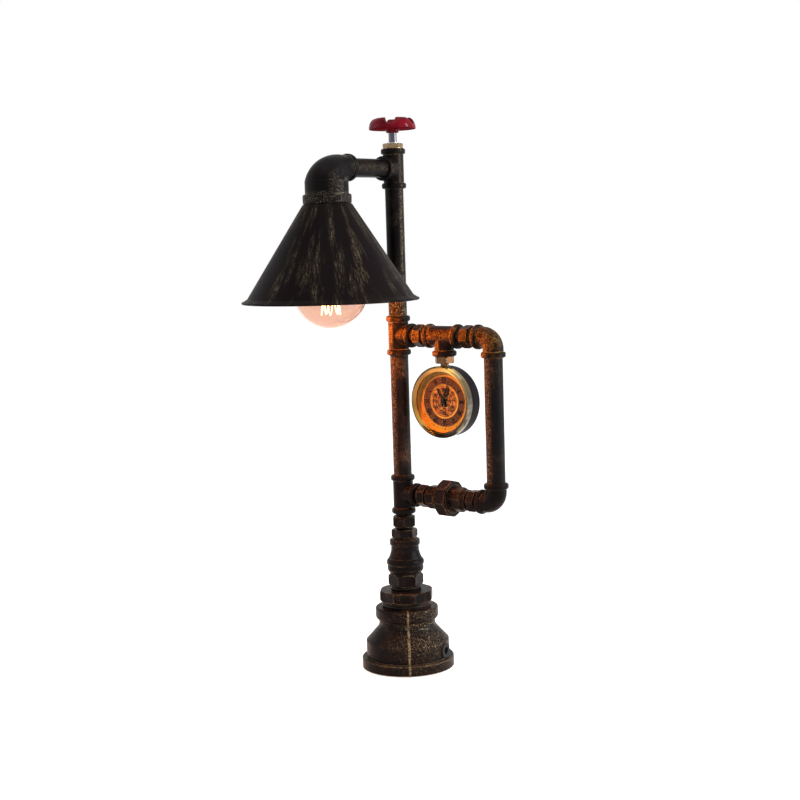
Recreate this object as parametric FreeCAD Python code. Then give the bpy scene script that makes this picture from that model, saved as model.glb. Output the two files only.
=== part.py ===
import FreeCAD, Part
import math
import os

# Industrial pipe table lamp, in millimetres. The origin is the centre of the felt pad's underside, on the
# pole's axis. +Z is up, the arm and the shade reach towards -Y and the loop with the clock towards +X.

# Table clearances
flat_gap = 0.3            # space left between neighbours that don't bear on each other
thread_fit = 0.05         # radial clearance of a male thread in its socket
turn_fit = 0.05           # radial clearance of a shaft that turns in its bearing

# Small pipe thread, the same in every pole, arm and loop joint
thread_r = 6.6
thread_taper = 0.35       # what a male thread loses in radius over its length
engage = 8.5              # length of male thread inside a fitting
socket_depth = 9.5        # depth of a fitting's threaded socket
mouth_chamfer = 0.5       # countersink at a socket's mouth
passage_r = 5.3           # wire passage inside a fitting

# Steel pipe
pipe_r = 7.55
pipe_bore_r = 4.9
lower_pole_len = 100.3    # length that shows between two fittings
upper_pole_len = 103.8
arm_pipe_len = 40.2

# Malleable iron tees and elbows
body_r = 8.4
branch_r = 8.0            # a tee's branch, a little slimmer than its run
bead_r = 10.0
bead_w = 4.8
bead_round = 1.7
fitting_half = 16.3       # centre to face
bend_r = 9.4
saddle_round = 1.0        # cast radius where a tee's branch meets its run

# How far each polygon is turned about its own axis, read off the photo
nipple_spin = 0.0
nipple_b_spin = -13.0
nipple_d_spin = 29.0
pole_nipple_spin = 6.0
reducer_spin = 46.5
base_nipple_spin = 42.0
bushing_spin = 10.0
switch_nut_spin = 38.8
stem_spin = 15.0
tail_spin = 22.5
nut_spin = 8.4
head_spin = -8.0

# Hex nipples between fittings
hex_af = 16.4
hex_w = 7.0
hex_chamfer = 0.7
nipple_bore_r = 4.7
nipple_a_gap = 13.8       # face to face, middle tee to clock tee
nipple_b_gap = 15.1       # clock tee to upper elbow
nipple_c_gap = 13.1       # lower tee to union
nipple_d_hex_w = 7.0      # on the short nipple from the union to the elbow
pole_nipple_gap = 13.4
pole_nipple_hex_w = 8.8
pole_nipple_af = 18.2
pole_nipple_chamfer = 1.6

# Union in the lower branch
tail_af = 18.4
tail_grip_w = 7.6
tail_flare_r = 10.9       # tail where it enters the nut
tail_neck_r = 8.8
collar_r = 11.2
collar_w = 2.0
union_nut_x = 42.0
union_nut_af = 28.9
union_nut_w = 10.2
union_nut_chamfer = 1.3
union_nut_lip = 2.2       # lip that holds the tail's collar
union_thread_r = 11.8
head_af = 19.0
head_grip_w = 10.4
head_chamfer = 0.8
head_end_r = 8.6          # round end behind the grip
head_end_w = 4.6

# Base casting, an inverted bell reducer
bell_h = 51.7
bell_lift = 0.8           # underside of the iron above the table, on the felt
flange_r = 38.7
flange_h = 9.2
skirt_r = 34.9
shoulder_z = 23.3         # crease where the skirt turns in
shoulder_round = 0.6
slope_r = 25.5            # foot of the neck, where the slope ends
slope_z = 33.6
neck_r = 23.7
neck_z = 37.8
bell_bead_r = 26.4
bell_bead_h = 10.8
bell_wall = 4.5
seam_w = 1.6
seam_out = 0.7
seam_angle = 39.5         # from -Y towards +X
cavity_r = 31.6
cavity_h = 30.0

# Base closure, weight and wiring
felt_r = 35.0
felt_t = 2.0
plate_r = 35.2
plate_t = 2.0
plate_fit = 0.3
screw_count = 3
screw_circle_r = 29.0
screw_r = 1.5
screw_head_r = 2.9
screw_head_h = 1.4
screw_len = 9.0
boss_r = 4.2
boss_h = 12.0
ballast_r = 23.5
ballast_bore_r = 8.0
ballast_h = 13.0
block_size = (12.0, 16.0, 9.0)
block_shift = 2.0
grommet_z = 16.0
grommet_angle = 100.0     # from -Y towards +X
grommet_hole_r = 5.0      # hole in the iron
grommet_bore_r = 3.25     # hole for the cord
grommet_flange_r = 6.2
grommet_flange_w = 1.2

# Octagonal bushing screwed into the bell
bushing_thread_r = 20.4
bushing_thread_len = 9.0
bushing_neck_h = 5.3
bushing_af = 43.0
bushing_h = 8.8
bushing_chamfer = 1.4

# Larger pipe thread, base nipple to reducing socket
big_thread_r = 12.5
big_bore_r = 9.0
base_nipple_af = 25.6
base_nipple_hex_w = 9.8
base_nipple_low_neck = 3.7
base_nipple_high_neck = 1.7
base_nipple_chamfer = 1.5
base_nipple_thread = 8.0

# Reducing socket
socket_len = 28.0
socket_low_r = 15.2
socket_low_h = 11.8
socket_neck_r = 11.7
socket_neck_z = 18.6
socket_top_r = 12.7
socket_top_h = 5.4
socket_top_bore_r = 9.6
socket_ridge = 0.35

# Hex bushing between the reducing socket and the pole nipple
reducer_neck = 1.6
reducer_af = 19.2
reducer_h = 6.6
reducer_thread_len = 7.0

# Rotary switch in the top tee
washer_r = 8.2
washer_t = 0.6
nut_af = 14.4
nut_h = 3.5
nut_chamfer = 0.6
switch_bush_r = 4.6
switch_bush_rise = 0.8    # threaded bushing above its nut
switch_can_r = 6.2
switch_can_h = 9.0
shaft_r = 3.3
shaft_show = 8.5          # bare shaft between the nut and the wheel's hub
shaft_tail = 5.0          # length inside the switch

# Handwheel
wheel_r = 19.3
wheel_h = 9.5             # rim, top to underside
wheel_hub_r = 5.3
wheel_hub_h = 5.4
wheel_hub_drop = 2.6      # hub below the rim's underside
wheel_web_t = 2.2
wheel_rim_w = 4.4
wheel_crest = 6.0         # from the rim's outside in to its crest
wheel_notches = 5
wheel_turn = 32.0         # angle of the first notch from -Y towards +X
notch_r = 5.0
notch_floor = 3.8         # height of a notch's floor over the rim's underside
wheel_screw_head_r = 3.2
wheel_screw_head_h = 1.9
wheel_screw_r = 1.5
wheel_screw_len = 5.0

# Reducing elbow over the shade
elbow_reach = 28.5        # centre to face, both ways
elbow_small_r = 9.8
elbow_big_r = 17.1
elbow_ring_r = 10.9
elbow_ring_w = 5.0
elbow_band_r = 19.1
elbow_band_h = 7.7
elbow_band_round = 1.6
elbow_straight = 17.4     # straight part above the big end's face
elbow_neck = 9.5          # straight part behind the small end's face
elbow_spans = 6           # spans between the rings of its bend
ring_points = 16          # points each ring passes through
elbow_pinch = 0.12        # how much sooner its bend shrinks than evenly
elbow_shy = 0.03          # how far the bend lies inside the straight parts it joins
elbow_overlap = 0.5       # how far the straight parts run into the bend
elbow_ledge = 2.0         # ledge over the lampholder
elbow_turn_r = 6.2        # hollow corner where the wires turn down
holder_fit = 0.2

# Shade
shade_r = 69.5
shade_top_r = 19.2
shade_h = 75.6            # top to rim
shade_t = 1.1
shade_hole_r = 16.0
shade_lip_w = 4.6         # flared lip at the rim
shade_lip_h = 4.0
shade_bead_r = 0.9

# Lampholder and bulb
holder_r = 15.6
holder_h = 30.0
holder_bore_r = 13.8
holder_roof = 4.5
holder_in_elbow = 15.0
shell_t = 0.4
shell_h = 22.0
contact_r = 3.0
contact_t = 0.6
ring_r = 18.2
ring_h = 4.0
cap_r = 13.05
cap_h = 24.0
cap_wall = 0.5
cap_tip_r = 4.2
cap_tip_h = 1.6
cap_slope_h = 3.0
bulb_r = 29.1
bulb_len = 106.6          # contact tip to the glass's lowest point
bulb_neck_r = 12.3
bulb_wall = 0.8
bulb_travel_room = 0.3    # gap between the contact and the bulb's tip
stem_r = 5.0
stem_len = 46.0
stem_rod_r = 1.4
filament_r = 0.45
filament_span = 14.0
filament_hoop_h = 7.0
filament_rise = 10.6      # lowest point of the filament over the glass's lowest point
lead_gap = 2.05           # from the bulb's axis to each lead wire at the foot

# Clock in its gauge case
case_r = 28.8
case_depth = 13.2
case_wall = 1.6
bezel_r = case_r + 0.45
bezel_depth = 4.5
bezel_lap = 1.3           # bezel over the case's front edge
bezel_face_r = case_r - 1.4
bezel_open_r = case_r - 4.0
lens_r = case_r - 2.8
lens_t = 1.2
stem_hex_af = 14.4
stem_hex_h = 5.5
stem_neck_r = 3.4
stem_neck_h = 2.4
stem_into_case = 2.6
insert_r = case_r - 3.1
insert_wall = 0.8
insert_floor = 1.2
insert_depth = 4.9
dial_t = 0.5
movement_w = 30.0
movement_t = 5.2
cell_r = 5.8
cell_t = 2.1
cell_shift = 8.0
arbor_r = 0.9
hour_tube_r = 1.7
hand_t = 0.35
hour_hand_len = 12.6
hour_hand_w = 2.6
minute_hand_len = 18.5
minute_hand_w = 1.5
hand_tail = 4.5
hand_gap = 0.45           # between the dial, the hour hand and the minute hand
hour_angle = -31.0        # clockwise from twelve, as seen from the front
minute_angle = 18.0
hand_cap_r = 1.9
hand_cap_t = 0.6
knob_r = 4.0
knob_t = 0.9

# Wires inside the pipes
wire_r = 0.95
wire_gap = 1.6            # from the pole's axis to each wire
lamp_wire_bend = 4.5

# Places that follow from the sizes above, going up the pole
bell_top = bell_h
bushing_z = bell_top + bushing_neck_h
bushing_top = bushing_z + bushing_h
base_hex_z = bushing_top + base_nipple_low_neck
socket_z = base_hex_z + base_nipple_hex_w + base_nipple_high_neck
socket_top = socket_z + socket_len
reducer_z = socket_top + reducer_neck
reducer_top = reducer_z + reducer_h
low_tee_z = reducer_top + pole_nipple_gap + fitting_half
mid_tee_z = low_tee_z + 2 * fitting_half + lower_pole_len
top_tee_z = mid_tee_z + 2 * fitting_half + upper_pole_len
tee_top = top_tee_z + fitting_half
nut_z = tee_top + washer_t
nut_top = nut_z + nut_h
hub_z = nut_top + shaft_show
wheel_top = hub_z + wheel_hub_drop + wheel_h

# Places along the arm and the loop
arm_y = -(fitting_half + arm_pipe_len + elbow_reach)
clock_x = 2 * fitting_half + nipple_a_gap
loop_x = clock_x + 2 * fitting_half + nipple_b_gap
union_x = fitting_half + nipple_c_gap
union_end = union_nut_x + union_nut_w + flat_gap + head_grip_w + head_end_w
nipple_d_gap = loop_x - fitting_half - union_end
stem_z = mid_tee_z - fitting_half
clock_z = stem_z - stem_hex_h - stem_neck_h - case_r
case_front = -case_depth / 2 + (bezel_depth - bezel_lap) / 2
case_back = case_front + case_depth
bezel_front = case_front + bezel_lap - bezel_depth
shade_z = top_tee_z - elbow_reach
holder_z = shade_z + holder_in_elbow
tip_z = holder_z - holder_roof - contact_t - bulb_travel_room
bulb_z = tip_z - bulb_len + bulb_r

V = FreeCAD.Vector
X = V(1, 0, 0)
Y = V(0, 1, 0)
Z = V(0, 0, 1)
ARM = V(0, -1, 0)
DOWN = V(0, 0, -1)
ORIGIN = V(0, 0, 0)


def placed(shape, at, along, spin=0):
    """A shape made upright at the origin, turned by spin, then pointed along and moved to at."""
    turned = FreeCAD.Rotation(Z, along).multiply(FreeCAD.Rotation(Z, spin))
    moved = shape.copy()
    moved.Placement = FreeCAD.Placement(at, turned)
    return moved


def rod(at, along, radius, length):
    return Part.makeCylinder(radius, length, at, along)


def fused(shapes):
    return shapes[0].multiFuse(shapes[1:]).removeSplitter()


def circle_face(at, normal, radius):
    return Part.Face(Part.Wire(Part.Circle(at, normal, radius).toShape()))


def turned_solid(edges):
    """Closed outline in the XZ plane, turned about the Z axis."""
    return Part.Face(Part.Wire(edges)).revolve(ORIGIN, Z, 360)


def outline(points):
    """Straight edges through radius and height pairs, closed back to the first."""
    corners = [V(r, 0, z) for r, z in points]
    return Part.makePolygon(corners + corners[:1]).Edges


def arc_through(a, b, c):
    """Arc in the XZ plane through three radius and height pairs."""
    return Part.Arc(V(a[0], 0, a[1]), V(b[0], 0, b[1]), V(c[0], 0, c[1])).toShape()


def line(a, b):
    return Part.makeLine(V(a[0], 0, a[1]), V(b[0], 0, b[1]))


def round_edges(shape, radius, wanted):
    return shape.makeFillet(radius, [e for e in shape.Edges if wanted(e)])


def prism(across_flats, sides, height, chamfer):
    """Hexagon or octagon bar with its corners turned off at both ends."""
    corner = across_flats / 2 / math.cos(math.pi / sides)
    corners = [V(corner * math.cos(2 * math.pi * i / sides), corner * math.sin(2 * math.pi * i / sides), 0)
               for i in range(sides + 1)]
    bar = Part.Face(Part.makePolygon(corners)).extrude(V(0, 0, height))
    blank = Part.makeCylinder(corner, height)
    return bar.common(blank.makeChamfer(chamfer, blank.Edges[0:1] + blank.Edges[2:3]))


def male_thread(at, along, radius=thread_r, length=engage):
    return Part.makeCone(radius, radius - thread_taper, length, at, along)


def threaded_socket(at, along, radius=thread_r, depth=socket_depth):
    """Cutter for a socket whose mouth is at the given point and which opens along the given direction."""
    r = radius + thread_fit
    mouth = Part.makeCone(r, r + mouth_chamfer, mouth_chamfer, at - along * mouth_chamfer, along)
    return rod(at - along * depth, along, r, depth).fuse(mouth)


def bead(reach):
    """Rounded band at the end of a fitting, upright, with its face at the given height."""
    band = Part.makeCylinder(bead_r, bead_w, V(0, 0, reach - bead_w))
    return round_edges(band, bead_round, lambda e: abs(e.Length - 2 * math.pi * bead_r) < 0.01)


def banded_arm(radius):
    """One arm of a fitting, upright, solid from the fitting's centre out to its rounded band and face."""
    back = fitting_half - bead_w
    tip = bead_r - bead_round
    bulge = bead_r - bead_round * (1 - math.sqrt(0.5))
    shift = bead_round * (1 - math.sqrt(0.5))
    return turned_solid([
        line((0, 0), (radius, 0)),
        line((radius, 0), (radius, back)),
        line((radius, back), (tip, back)),
        arc_through((tip, back), (bulge, back + shift), (bead_r, back + bead_round)),
        line((bead_r, back + bead_round), (bead_r, fitting_half - bead_round)),
        arc_through((bead_r, fitting_half - bead_round), (bulge, fitting_half - shift), (tip, fitting_half)),
        line((tip, fitting_half), (0, fitting_half)),
        line((0, fitting_half), (0, 0)),
    ])


def fitting_cutters(directions):
    cutters = [rod(ORIGIN, d, passage_r, fitting_half) for d in directions]
    return cutters + [threaded_socket(d * fitting_half, d) for d in directions]


def tee(centre, run, branch):
    """Tee made with its run upright and its branch towards +X, then set along the two given directions."""
    ends = [Z, DOWN, X]
    arms = [banded_arm(body_r), placed(banded_arm(body_r), ORIGIN, DOWN),
            placed(banded_arm(branch_r), ORIGIN, X)]
    solid = round_edges(fused(arms), saddle_round, lambda e: "BSpline" in e.Curve.TypeId)
    solid = solid.cut(fused(fitting_cutters(ends)))
    solid.Placement = FreeCAD.Placement(centre, FreeCAD.Rotation(branch, run.cross(branch), run, "ZXY"))
    return solid


def bend(a, b, radius, tube):
    """Quarter turn of a round bar between two perpendicular legs that meet at the origin."""
    pivot = (a + b) * radius
    return circle_face(a * radius, a, tube).revolve(pivot, b.cross(a), 90)


def elbow(centre, spin):
    """Elbow with one leg towards -X and one upwards, spun about Y."""
    legs = (X * -1, Z)
    solids = [bend(*legs, bend_r, body_r)]
    hollow = [bend(*legs, bend_r, passage_r)]
    for d in legs:
        solids.append(rod(d * bend_r, d, body_r, fitting_half - bend_r))
        solids.append(placed(bead(fitting_half), ORIGIN, d))
        hollow.append(rod(d * bend_r, d, passage_r, fitting_half - bend_r))
        hollow.append(threaded_socket(d * fitting_half, d))
    solid = fused(solids).cut(fused(hollow))
    solid.rotate(ORIGIN, Y, spin)
    solid.translate(centre)
    return solid


def pipe(at, along, length):
    """Pipe that shows for a given length, with a male thread beyond each end."""
    end = at + along * length
    solid = fused([rod(at, along, pipe_r, length), male_thread(end, along), male_thread(at, along * -1)])
    return solid.cut(rod(at - along * engage, along, pipe_bore_r, length + 2 * engage))


def hex_nipple(at, along, gap, hex_width=hex_w, spin=nipple_spin, af=hex_af, chamfer=hex_chamfer):
    """Nipple with its hexagon in the middle of the gap between two fittings."""
    grip = placed(prism(af, 6, hex_width, chamfer), at + along * ((gap - hex_width) / 2), along, spin)
    core = rod(at, along, thread_r, gap)
    solid = fused([core, grip, male_thread(at + along * gap, along), male_thread(at, along * -1)])
    return solid.cut(rod(at - along * engage, along, nipple_bore_r, gap + 2 * engage))


def around(angle, radius, z):
    """Point at a height, at an angle from -Y towards +X."""
    a = math.radians(angle)
    return V(radius * math.sin(a), -radius * math.cos(a), z)


def bell_outside(extra=0.0):
    """Outside of the base casting: flange, upright skirt, slope from its crease in to a beaded neck."""
    low = bell_lift
    flange = flange_r + extra
    skirt = skirt_r + extra
    neck = neck_r + extra
    bead_top = bell_bead_r + extra
    crease = (skirt - shoulder_round * 0.3, shoulder_z + shoulder_round * 0.3)
    slope_top = (skirt - shoulder_round, shoulder_z + shoulder_round)
    foot = (slope_r + extra, slope_z)
    hollow = (neck + 0.55, slope_z + 1.9)
    bead_z = bell_top - bell_bead_h
    edges = [
        line((0, low), (flange, low)),
        line((flange, low), (flange, flange_h - 0.7)),
        line((flange, flange_h - 0.7), (flange - 0.7, flange_h)),
        line((flange - 0.7, flange_h), (skirt, flange_h)),
        line((skirt, flange_h), (skirt, shoulder_z - shoulder_round)),
        arc_through((skirt, shoulder_z - shoulder_round), crease, slope_top),
        line(slope_top, foot),
        arc_through(foot, hollow, (neck, neck_z)),
        line((neck, neck_z), (neck, bead_z)),
        arc_through((neck, bead_z), (bead_top - 0.6, bead_z + 1.3), (bead_top, bead_z + 3.0)),
        line((bead_top, bead_z + 3.0), (bead_top, bell_top - 1.6)),
        arc_through((bead_top, bell_top - 1.6), (bead_top - 0.5, bell_top - 0.5), (bead_top - 1.6, bell_top)),
        line((bead_top - 1.6, bell_top), (0, bell_top)),
        line((0, bell_top), (0, low)),
    ]
    return turned_solid(edges)


def base_bell():
    """Bell with its parting seam, cavity, screw bosses, cord hole and threaded mouth."""
    slab = Part.makeBox(seam_w, 2.5 * flange_r, bell_h, V(-seam_w / 2, -1.25 * flange_r, bell_lift))
    slab.rotate(ORIGIN, Z, seam_angle)
    mouth = rod(V(0, 0, bell_top - bushing_thread_len), Z, bushing_thread_r + thread_fit, bushing_thread_len)
    seam = bell_outside(seam_out).common(slab).cut(mouth)
    shell = fused([bell_outside(), seam])
    recess = rod(V(0, 0, bell_lift), Z, plate_r + plate_fit, felt_t + plate_t - bell_lift)
    cavity = Part.makeCone(cavity_r, neck_r - bell_wall, cavity_h, V(0, 0, felt_t + plate_t))
    throat = rod(V(0, 0, felt_t + plate_t + cavity_h), Z, neck_r - bell_wall, bell_top)
    shell = shell.cut(fused([recess, cavity, throat, mouth]))
    bosses = []
    for i in range(screw_count):
        at = around(seam_angle + 360 * i / screw_count, screw_circle_r, felt_t + plate_t)
        bosses.append(rod(at, Z, boss_r, boss_h).common(bell_outside(-1.0)))
    shell = fused([shell] + bosses)
    holes = [rod(around(seam_angle + 360 * i / screw_count, screw_circle_r, 0), Z,
                 screw_r + thread_fit, felt_t + screw_len + 0.5) for i in range(screw_count)]
    out = around(grommet_angle, 1, 0)
    holes.append(rod(V(0, 0, grommet_z) + out * (ballast_r + 1), out, grommet_hole_r, flange_r))
    return shell.cut(fused(holes))


def base_plate():
    plate = rod(V(0, 0, felt_t), Z, plate_r, plate_t)
    for i in range(screw_count):
        at = around(seam_angle + 360 * i / screw_count, screw_circle_r, felt_t)
        plate = plate.cut(rod(at, Z, screw_r + plate_fit, plate_t))
        plate = plate.cut(Part.makeCone(screw_head_r + thread_fit, screw_r + plate_fit, screw_head_h, at, Z))
    return plate


def base_screws():
    screws = []
    for i in range(screw_count):
        at = around(seam_angle + 360 * i / screw_count, screw_circle_r, felt_t)
        head = Part.makeCone(screw_head_r, screw_r, screw_head_h, at, Z)
        screws.append(head.fuse(rod(at, Z, screw_r, screw_len)).removeSplitter())
    return Part.makeCompound(screws)


def felt_pad():
    return rod(ORIGIN, Z, felt_r, felt_t)


def base_ballast():
    at = V(0, 0, felt_t + plate_t)
    ring = rod(at, Z, ballast_r, ballast_h).cut(rod(at, Z, ballast_bore_r, ballast_h))
    return round_edges(ring, 1.0, lambda e: abs(e.Length - 2 * math.pi * ballast_r) < 0.01)


def terminal_block():
    """Two-way screw connector lying on the weight, its wires leaving over the bore."""
    length, width, height = block_size
    top = felt_t + plate_t + ballast_h
    block = Part.makeBox(length, width, height, V(ballast_bore_r + block_shift - length, -width / 2, top))
    block = round_edges(block, 0.8, lambda e: e.BoundBox.ZLength > height / 2)
    for side in (-1, 1):
        y = side * width / 4
        screw_well = rod(V(ballast_bore_r + block_shift - length / 2, y, top + height - 2.5), Z, 1.6, 2.5)
        wire_entry = rod(V(-wire_gap if side < 0 else wire_gap, 0, top + height - 2.0), Z, wire_r + 0.05, 2.0)
        block = block.cut(screw_well).cut(wire_entry)
    return block


def cord_grommet():
    """Rubber ring in the cord hole, with a flange outside and one inside the casting's wall."""
    out = around(grommet_angle, 1, 0)
    centre = V(0, 0, grommet_z)
    outer_z = skirt_r + grommet_flange_w
    body = rod(centre + out * (skirt_r - bell_wall - 1), out, grommet_hole_r - thread_fit, bell_wall + 1)
    flange = rod(centre + out * skirt_r, out, grommet_flange_r, grommet_flange_w)
    flange = flange.fuse(rod(centre + out * (skirt_r - 0.8), out, grommet_flange_r, 0.8))
    solid = fused([body, flange]).cut(bell_outside())
    solid = fused([solid, body])
    return solid.cut(rod(centre, out, grommet_bore_r, outer_z))


def base_bushing():
    """Octagon-headed bushing: big male thread into the bell, female thread for the base nipple."""
    thread = rod(V(0, 0, bell_top - bushing_thread_len), Z, bushing_thread_r, bushing_thread_len)
    neck = rod(V(0, 0, bell_top), Z, bushing_thread_r, bushing_neck_h)
    head = placed(prism(bushing_af, 8, bushing_h, bushing_chamfer), V(0, 0, bushing_z), Z, bushing_spin)
    solid = fused([thread, neck, head])
    through = rod(V(0, 0, bell_top - bushing_thread_len), Z, big_bore_r, bushing_top)
    socket = threaded_socket(V(0, 0, bushing_top), Z, big_thread_r, base_nipple_thread + 1)
    return solid.cut(through).cut(socket)


def base_nipple():
    low = bushing_top
    bar = prism(base_nipple_af, 6, base_nipple_hex_w, base_nipple_chamfer)
    grip = placed(bar, V(0, 0, base_hex_z), Z, base_nipple_spin)
    length = socket_z - low
    solid = fused([rod(V(0, 0, low), Z, big_thread_r, length), grip,
                   male_thread(V(0, 0, socket_z), Z, big_thread_r, base_nipple_thread),
                   male_thread(V(0, 0, low), DOWN, big_thread_r, base_nipple_thread)])
    return solid.cut(rod(V(0, 0, low - base_nipple_thread), Z, big_bore_r, length + 2 * base_nipple_thread))


def reducing_socket():
    """Bell-shaped coupling from the base nipple's thread down to the hex bushing's."""
    z = socket_z
    ridge_z = z + socket_low_h * 0.55
    low_top = z + socket_low_h
    neck = z + socket_neck_z
    top_z = socket_top - socket_top_h
    edges = [
        line((0, z), (socket_low_r - 1.4, z)),
        line((socket_low_r - 1.4, z), (socket_low_r - 0.1, z + 2.0)),
        line((socket_low_r - 0.1, z + 2.0), (socket_low_r - 0.1, ridge_z)),
        line((socket_low_r - 0.1, ridge_z), (socket_low_r + socket_ridge, ridge_z + 0.5)),
        arc_through((socket_low_r + socket_ridge, ridge_z + 0.5), (socket_low_r + 0.1, low_top - 1.6),
                    (socket_low_r - 1.3, low_top)),
        arc_through((socket_low_r - 1.3, low_top), (socket_neck_r + 0.8, low_top + 3.8),
                    (socket_neck_r, neck)),
        line((socket_neck_r, neck), (socket_neck_r, top_z)),
        line((socket_neck_r, top_z), (socket_top_r, top_z + 0.9)),
        line((socket_top_r, top_z + 0.9), (socket_top_r, socket_top - 0.9)),
        line((socket_top_r, socket_top - 0.9), (socket_top_r - 0.9, socket_top)),
        line((socket_top_r - 0.9, socket_top), (0, socket_top)),
        line((0, socket_top), (0, z)),
    ]
    hollow = [rod(V(0, 0, z), Z, passage_r, socket_len),
              threaded_socket(V(0, 0, z), DOWN, big_thread_r, base_nipple_thread + 1),
              threaded_socket(V(0, 0, socket_top), Z, socket_top_bore_r - thread_fit, reducer_thread_len + 1)]
    return turned_solid(edges).cut(fused(hollow))


def hex_bushing():
    head = placed(prism(reducer_af, 6, reducer_h, 0.8), V(0, 0, reducer_z), Z, reducer_spin)
    outer = socket_top_bore_r - thread_fit
    solid = fused([head, rod(V(0, 0, socket_top), Z, outer - 0.4, reducer_neck),
                   male_thread(V(0, 0, socket_top), DOWN, outer, reducer_thread_len)])
    base = socket_top - reducer_thread_len
    solid = solid.cut(rod(V(0, 0, base), Z, passage_r, reducer_top))
    return solid.cut(threaded_socket(V(0, 0, reducer_top), Z))


def switch_washer():
    disc = rod(V(0, 0, tee_top), Z, washer_r, washer_t)
    return disc.cut(rod(V(0, 0, tee_top), Z, switch_bush_r + thread_fit, washer_t))


def switch_nut():
    nut = placed(prism(nut_af, 6, nut_h, nut_chamfer), V(0, 0, nut_z), Z, switch_nut_spin)
    return nut.cut(rod(V(0, 0, nut_z), Z, switch_bush_r + thread_fit, nut_h))


def switch_body():
    """Round can hung in the tee's upper socket, with the threaded bushing that its nut holds."""
    can = rod(V(0, 0, tee_top - switch_can_h), Z, switch_can_r, switch_can_h)
    bush = rod(V(0, 0, tee_top), Z, switch_bush_r, washer_t + nut_h + switch_bush_rise)
    bearing = rod(V(0, 0, tee_top - shaft_tail - flat_gap), Z, shaft_r + turn_fit, shaft_tail + nut_h + 5)
    return can.fuse(bush).cut(bearing)


def switch_shaft():
    length = shaft_tail + washer_t + nut_h + shaft_show + wheel_hub_h
    shaft = rod(V(0, 0, tee_top - shaft_tail), Z, shaft_r, length)
    top = tee_top - shaft_tail + length
    return shaft.cut(rod(V(0, 0, top - wheel_screw_len), Z, wheel_screw_r + thread_fit, wheel_screw_len))


def handwheel():
    """Dished cast wheel: a domed rim cut by five finger notches, on a web with its hub below."""
    top = wheel_top
    under = top - wheel_h
    rim_in = wheel_r - wheel_rim_w
    crest = wheel_r - wheel_crest
    hub_top = hub_z + wheel_hub_h
    edges = [
        line((0, hub_z), (wheel_hub_r - 0.8, hub_z)),
        line((wheel_hub_r - 0.8, hub_z), (wheel_hub_r, hub_z + 1.0)),
        line((wheel_hub_r, hub_z + 1.0), (wheel_hub_r, hub_top - wheel_web_t)),
        arc_through((wheel_hub_r, hub_top - wheel_web_t), (wheel_hub_r + 4.2, under + 0.8), (rim_in, under)),
        line((rim_in, under), (wheel_r - 0.8, under)),
        arc_through((wheel_r - 0.8, under), (wheel_r, under + 1.0), (wheel_r - 0.2, under + 2.4)),
        arc_through((wheel_r - 0.2, under + 2.4), (wheel_r - 2.2, top - 2.8), (crest, top)),
        arc_through((crest, top), (crest - 1.0, top - 0.5), (crest - 1.5, top - 2.0)),
        arc_through((crest - 1.5, top - 2.0), (wheel_hub_r + 2.8, under + 3.6), (wheel_hub_r - 0.6, hub_top)),
        line((wheel_hub_r - 0.6, hub_top), (0, hub_top)),
        line((0, hub_top), (0, hub_z)),
    ]
    cutters = [rod(V(0, 0, hub_z - 1), Z, shaft_r + 0.02, wheel_hub_h + 2)]
    for i in range(wheel_notches):
        angle = wheel_turn + 360 * i / wheel_notches
        start = around(angle, wheel_hub_r + 3.5, under + notch_floor + notch_r)
        cutters.append(rod(start, around(angle, 1, 0), notch_r, wheel_r))
    return turned_solid(edges).cut(fused(cutters[:1]).multiFuse(cutters[1:]))


def wheel_screw():
    seat = hub_z + wheel_hub_h
    head = rod(V(0, 0, seat), Z, wheel_screw_head_r, wheel_screw_head_h)
    head = round_edges(head, 0.8, lambda e: e.BoundBox.ZMin > seat + 1 and "Circle" in e.Curve.TypeId)
    slot = Part.makeBox(2 * wheel_screw_head_r, 0.8, 0.9,
                        V(-wheel_screw_head_r, -0.4, seat + wheel_screw_head_h - 0.9))
    return head.fuse(rod(V(0, 0, seat - wheel_screw_len), Z, wheel_screw_r, wheel_screw_len)).cut(slot)


def elbow_bend():
    """Bend of the reducing elbow, lofted through rings that shrink along a quarter of an ellipse."""
    pivot = V(0, arm_y + elbow_reach - elbow_neck, shade_z + elbow_straight)
    reach_y = pivot.y - arm_y
    reach_z = top_tee_z - pivot.z
    rings = []
    for i in range(elbow_spans + 1):
        share = i / elbow_spans
        a = math.radians(90 * share)
        centre = pivot + V(0, -reach_y * math.cos(a), reach_z * math.sin(a))
        ahead = V(0, reach_y * math.sin(a), reach_z * math.cos(a)).normalize()
        across = X.cross(ahead)
        shrink = share + elbow_pinch * math.sin(math.pi * share)
        radius = elbow_big_r + (elbow_small_r - elbow_big_r) * shrink - elbow_shy
        points = [centre + X * (radius * math.cos(2 * math.pi * k / ring_points)) +
                  across * (radius * math.sin(2 * math.pi * k / ring_points)) for k in range(ring_points)]
        curve = Part.BSplineCurve()
        curve.interpolate(Points=points, PeriodicFlag=True)
        rings.append(Part.Wire(curve.toShape()))
    solid = Part.makeLoft(rings, True, False)
    if solid.Volume < 0:
        solid.reverse()
    return solid


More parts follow.
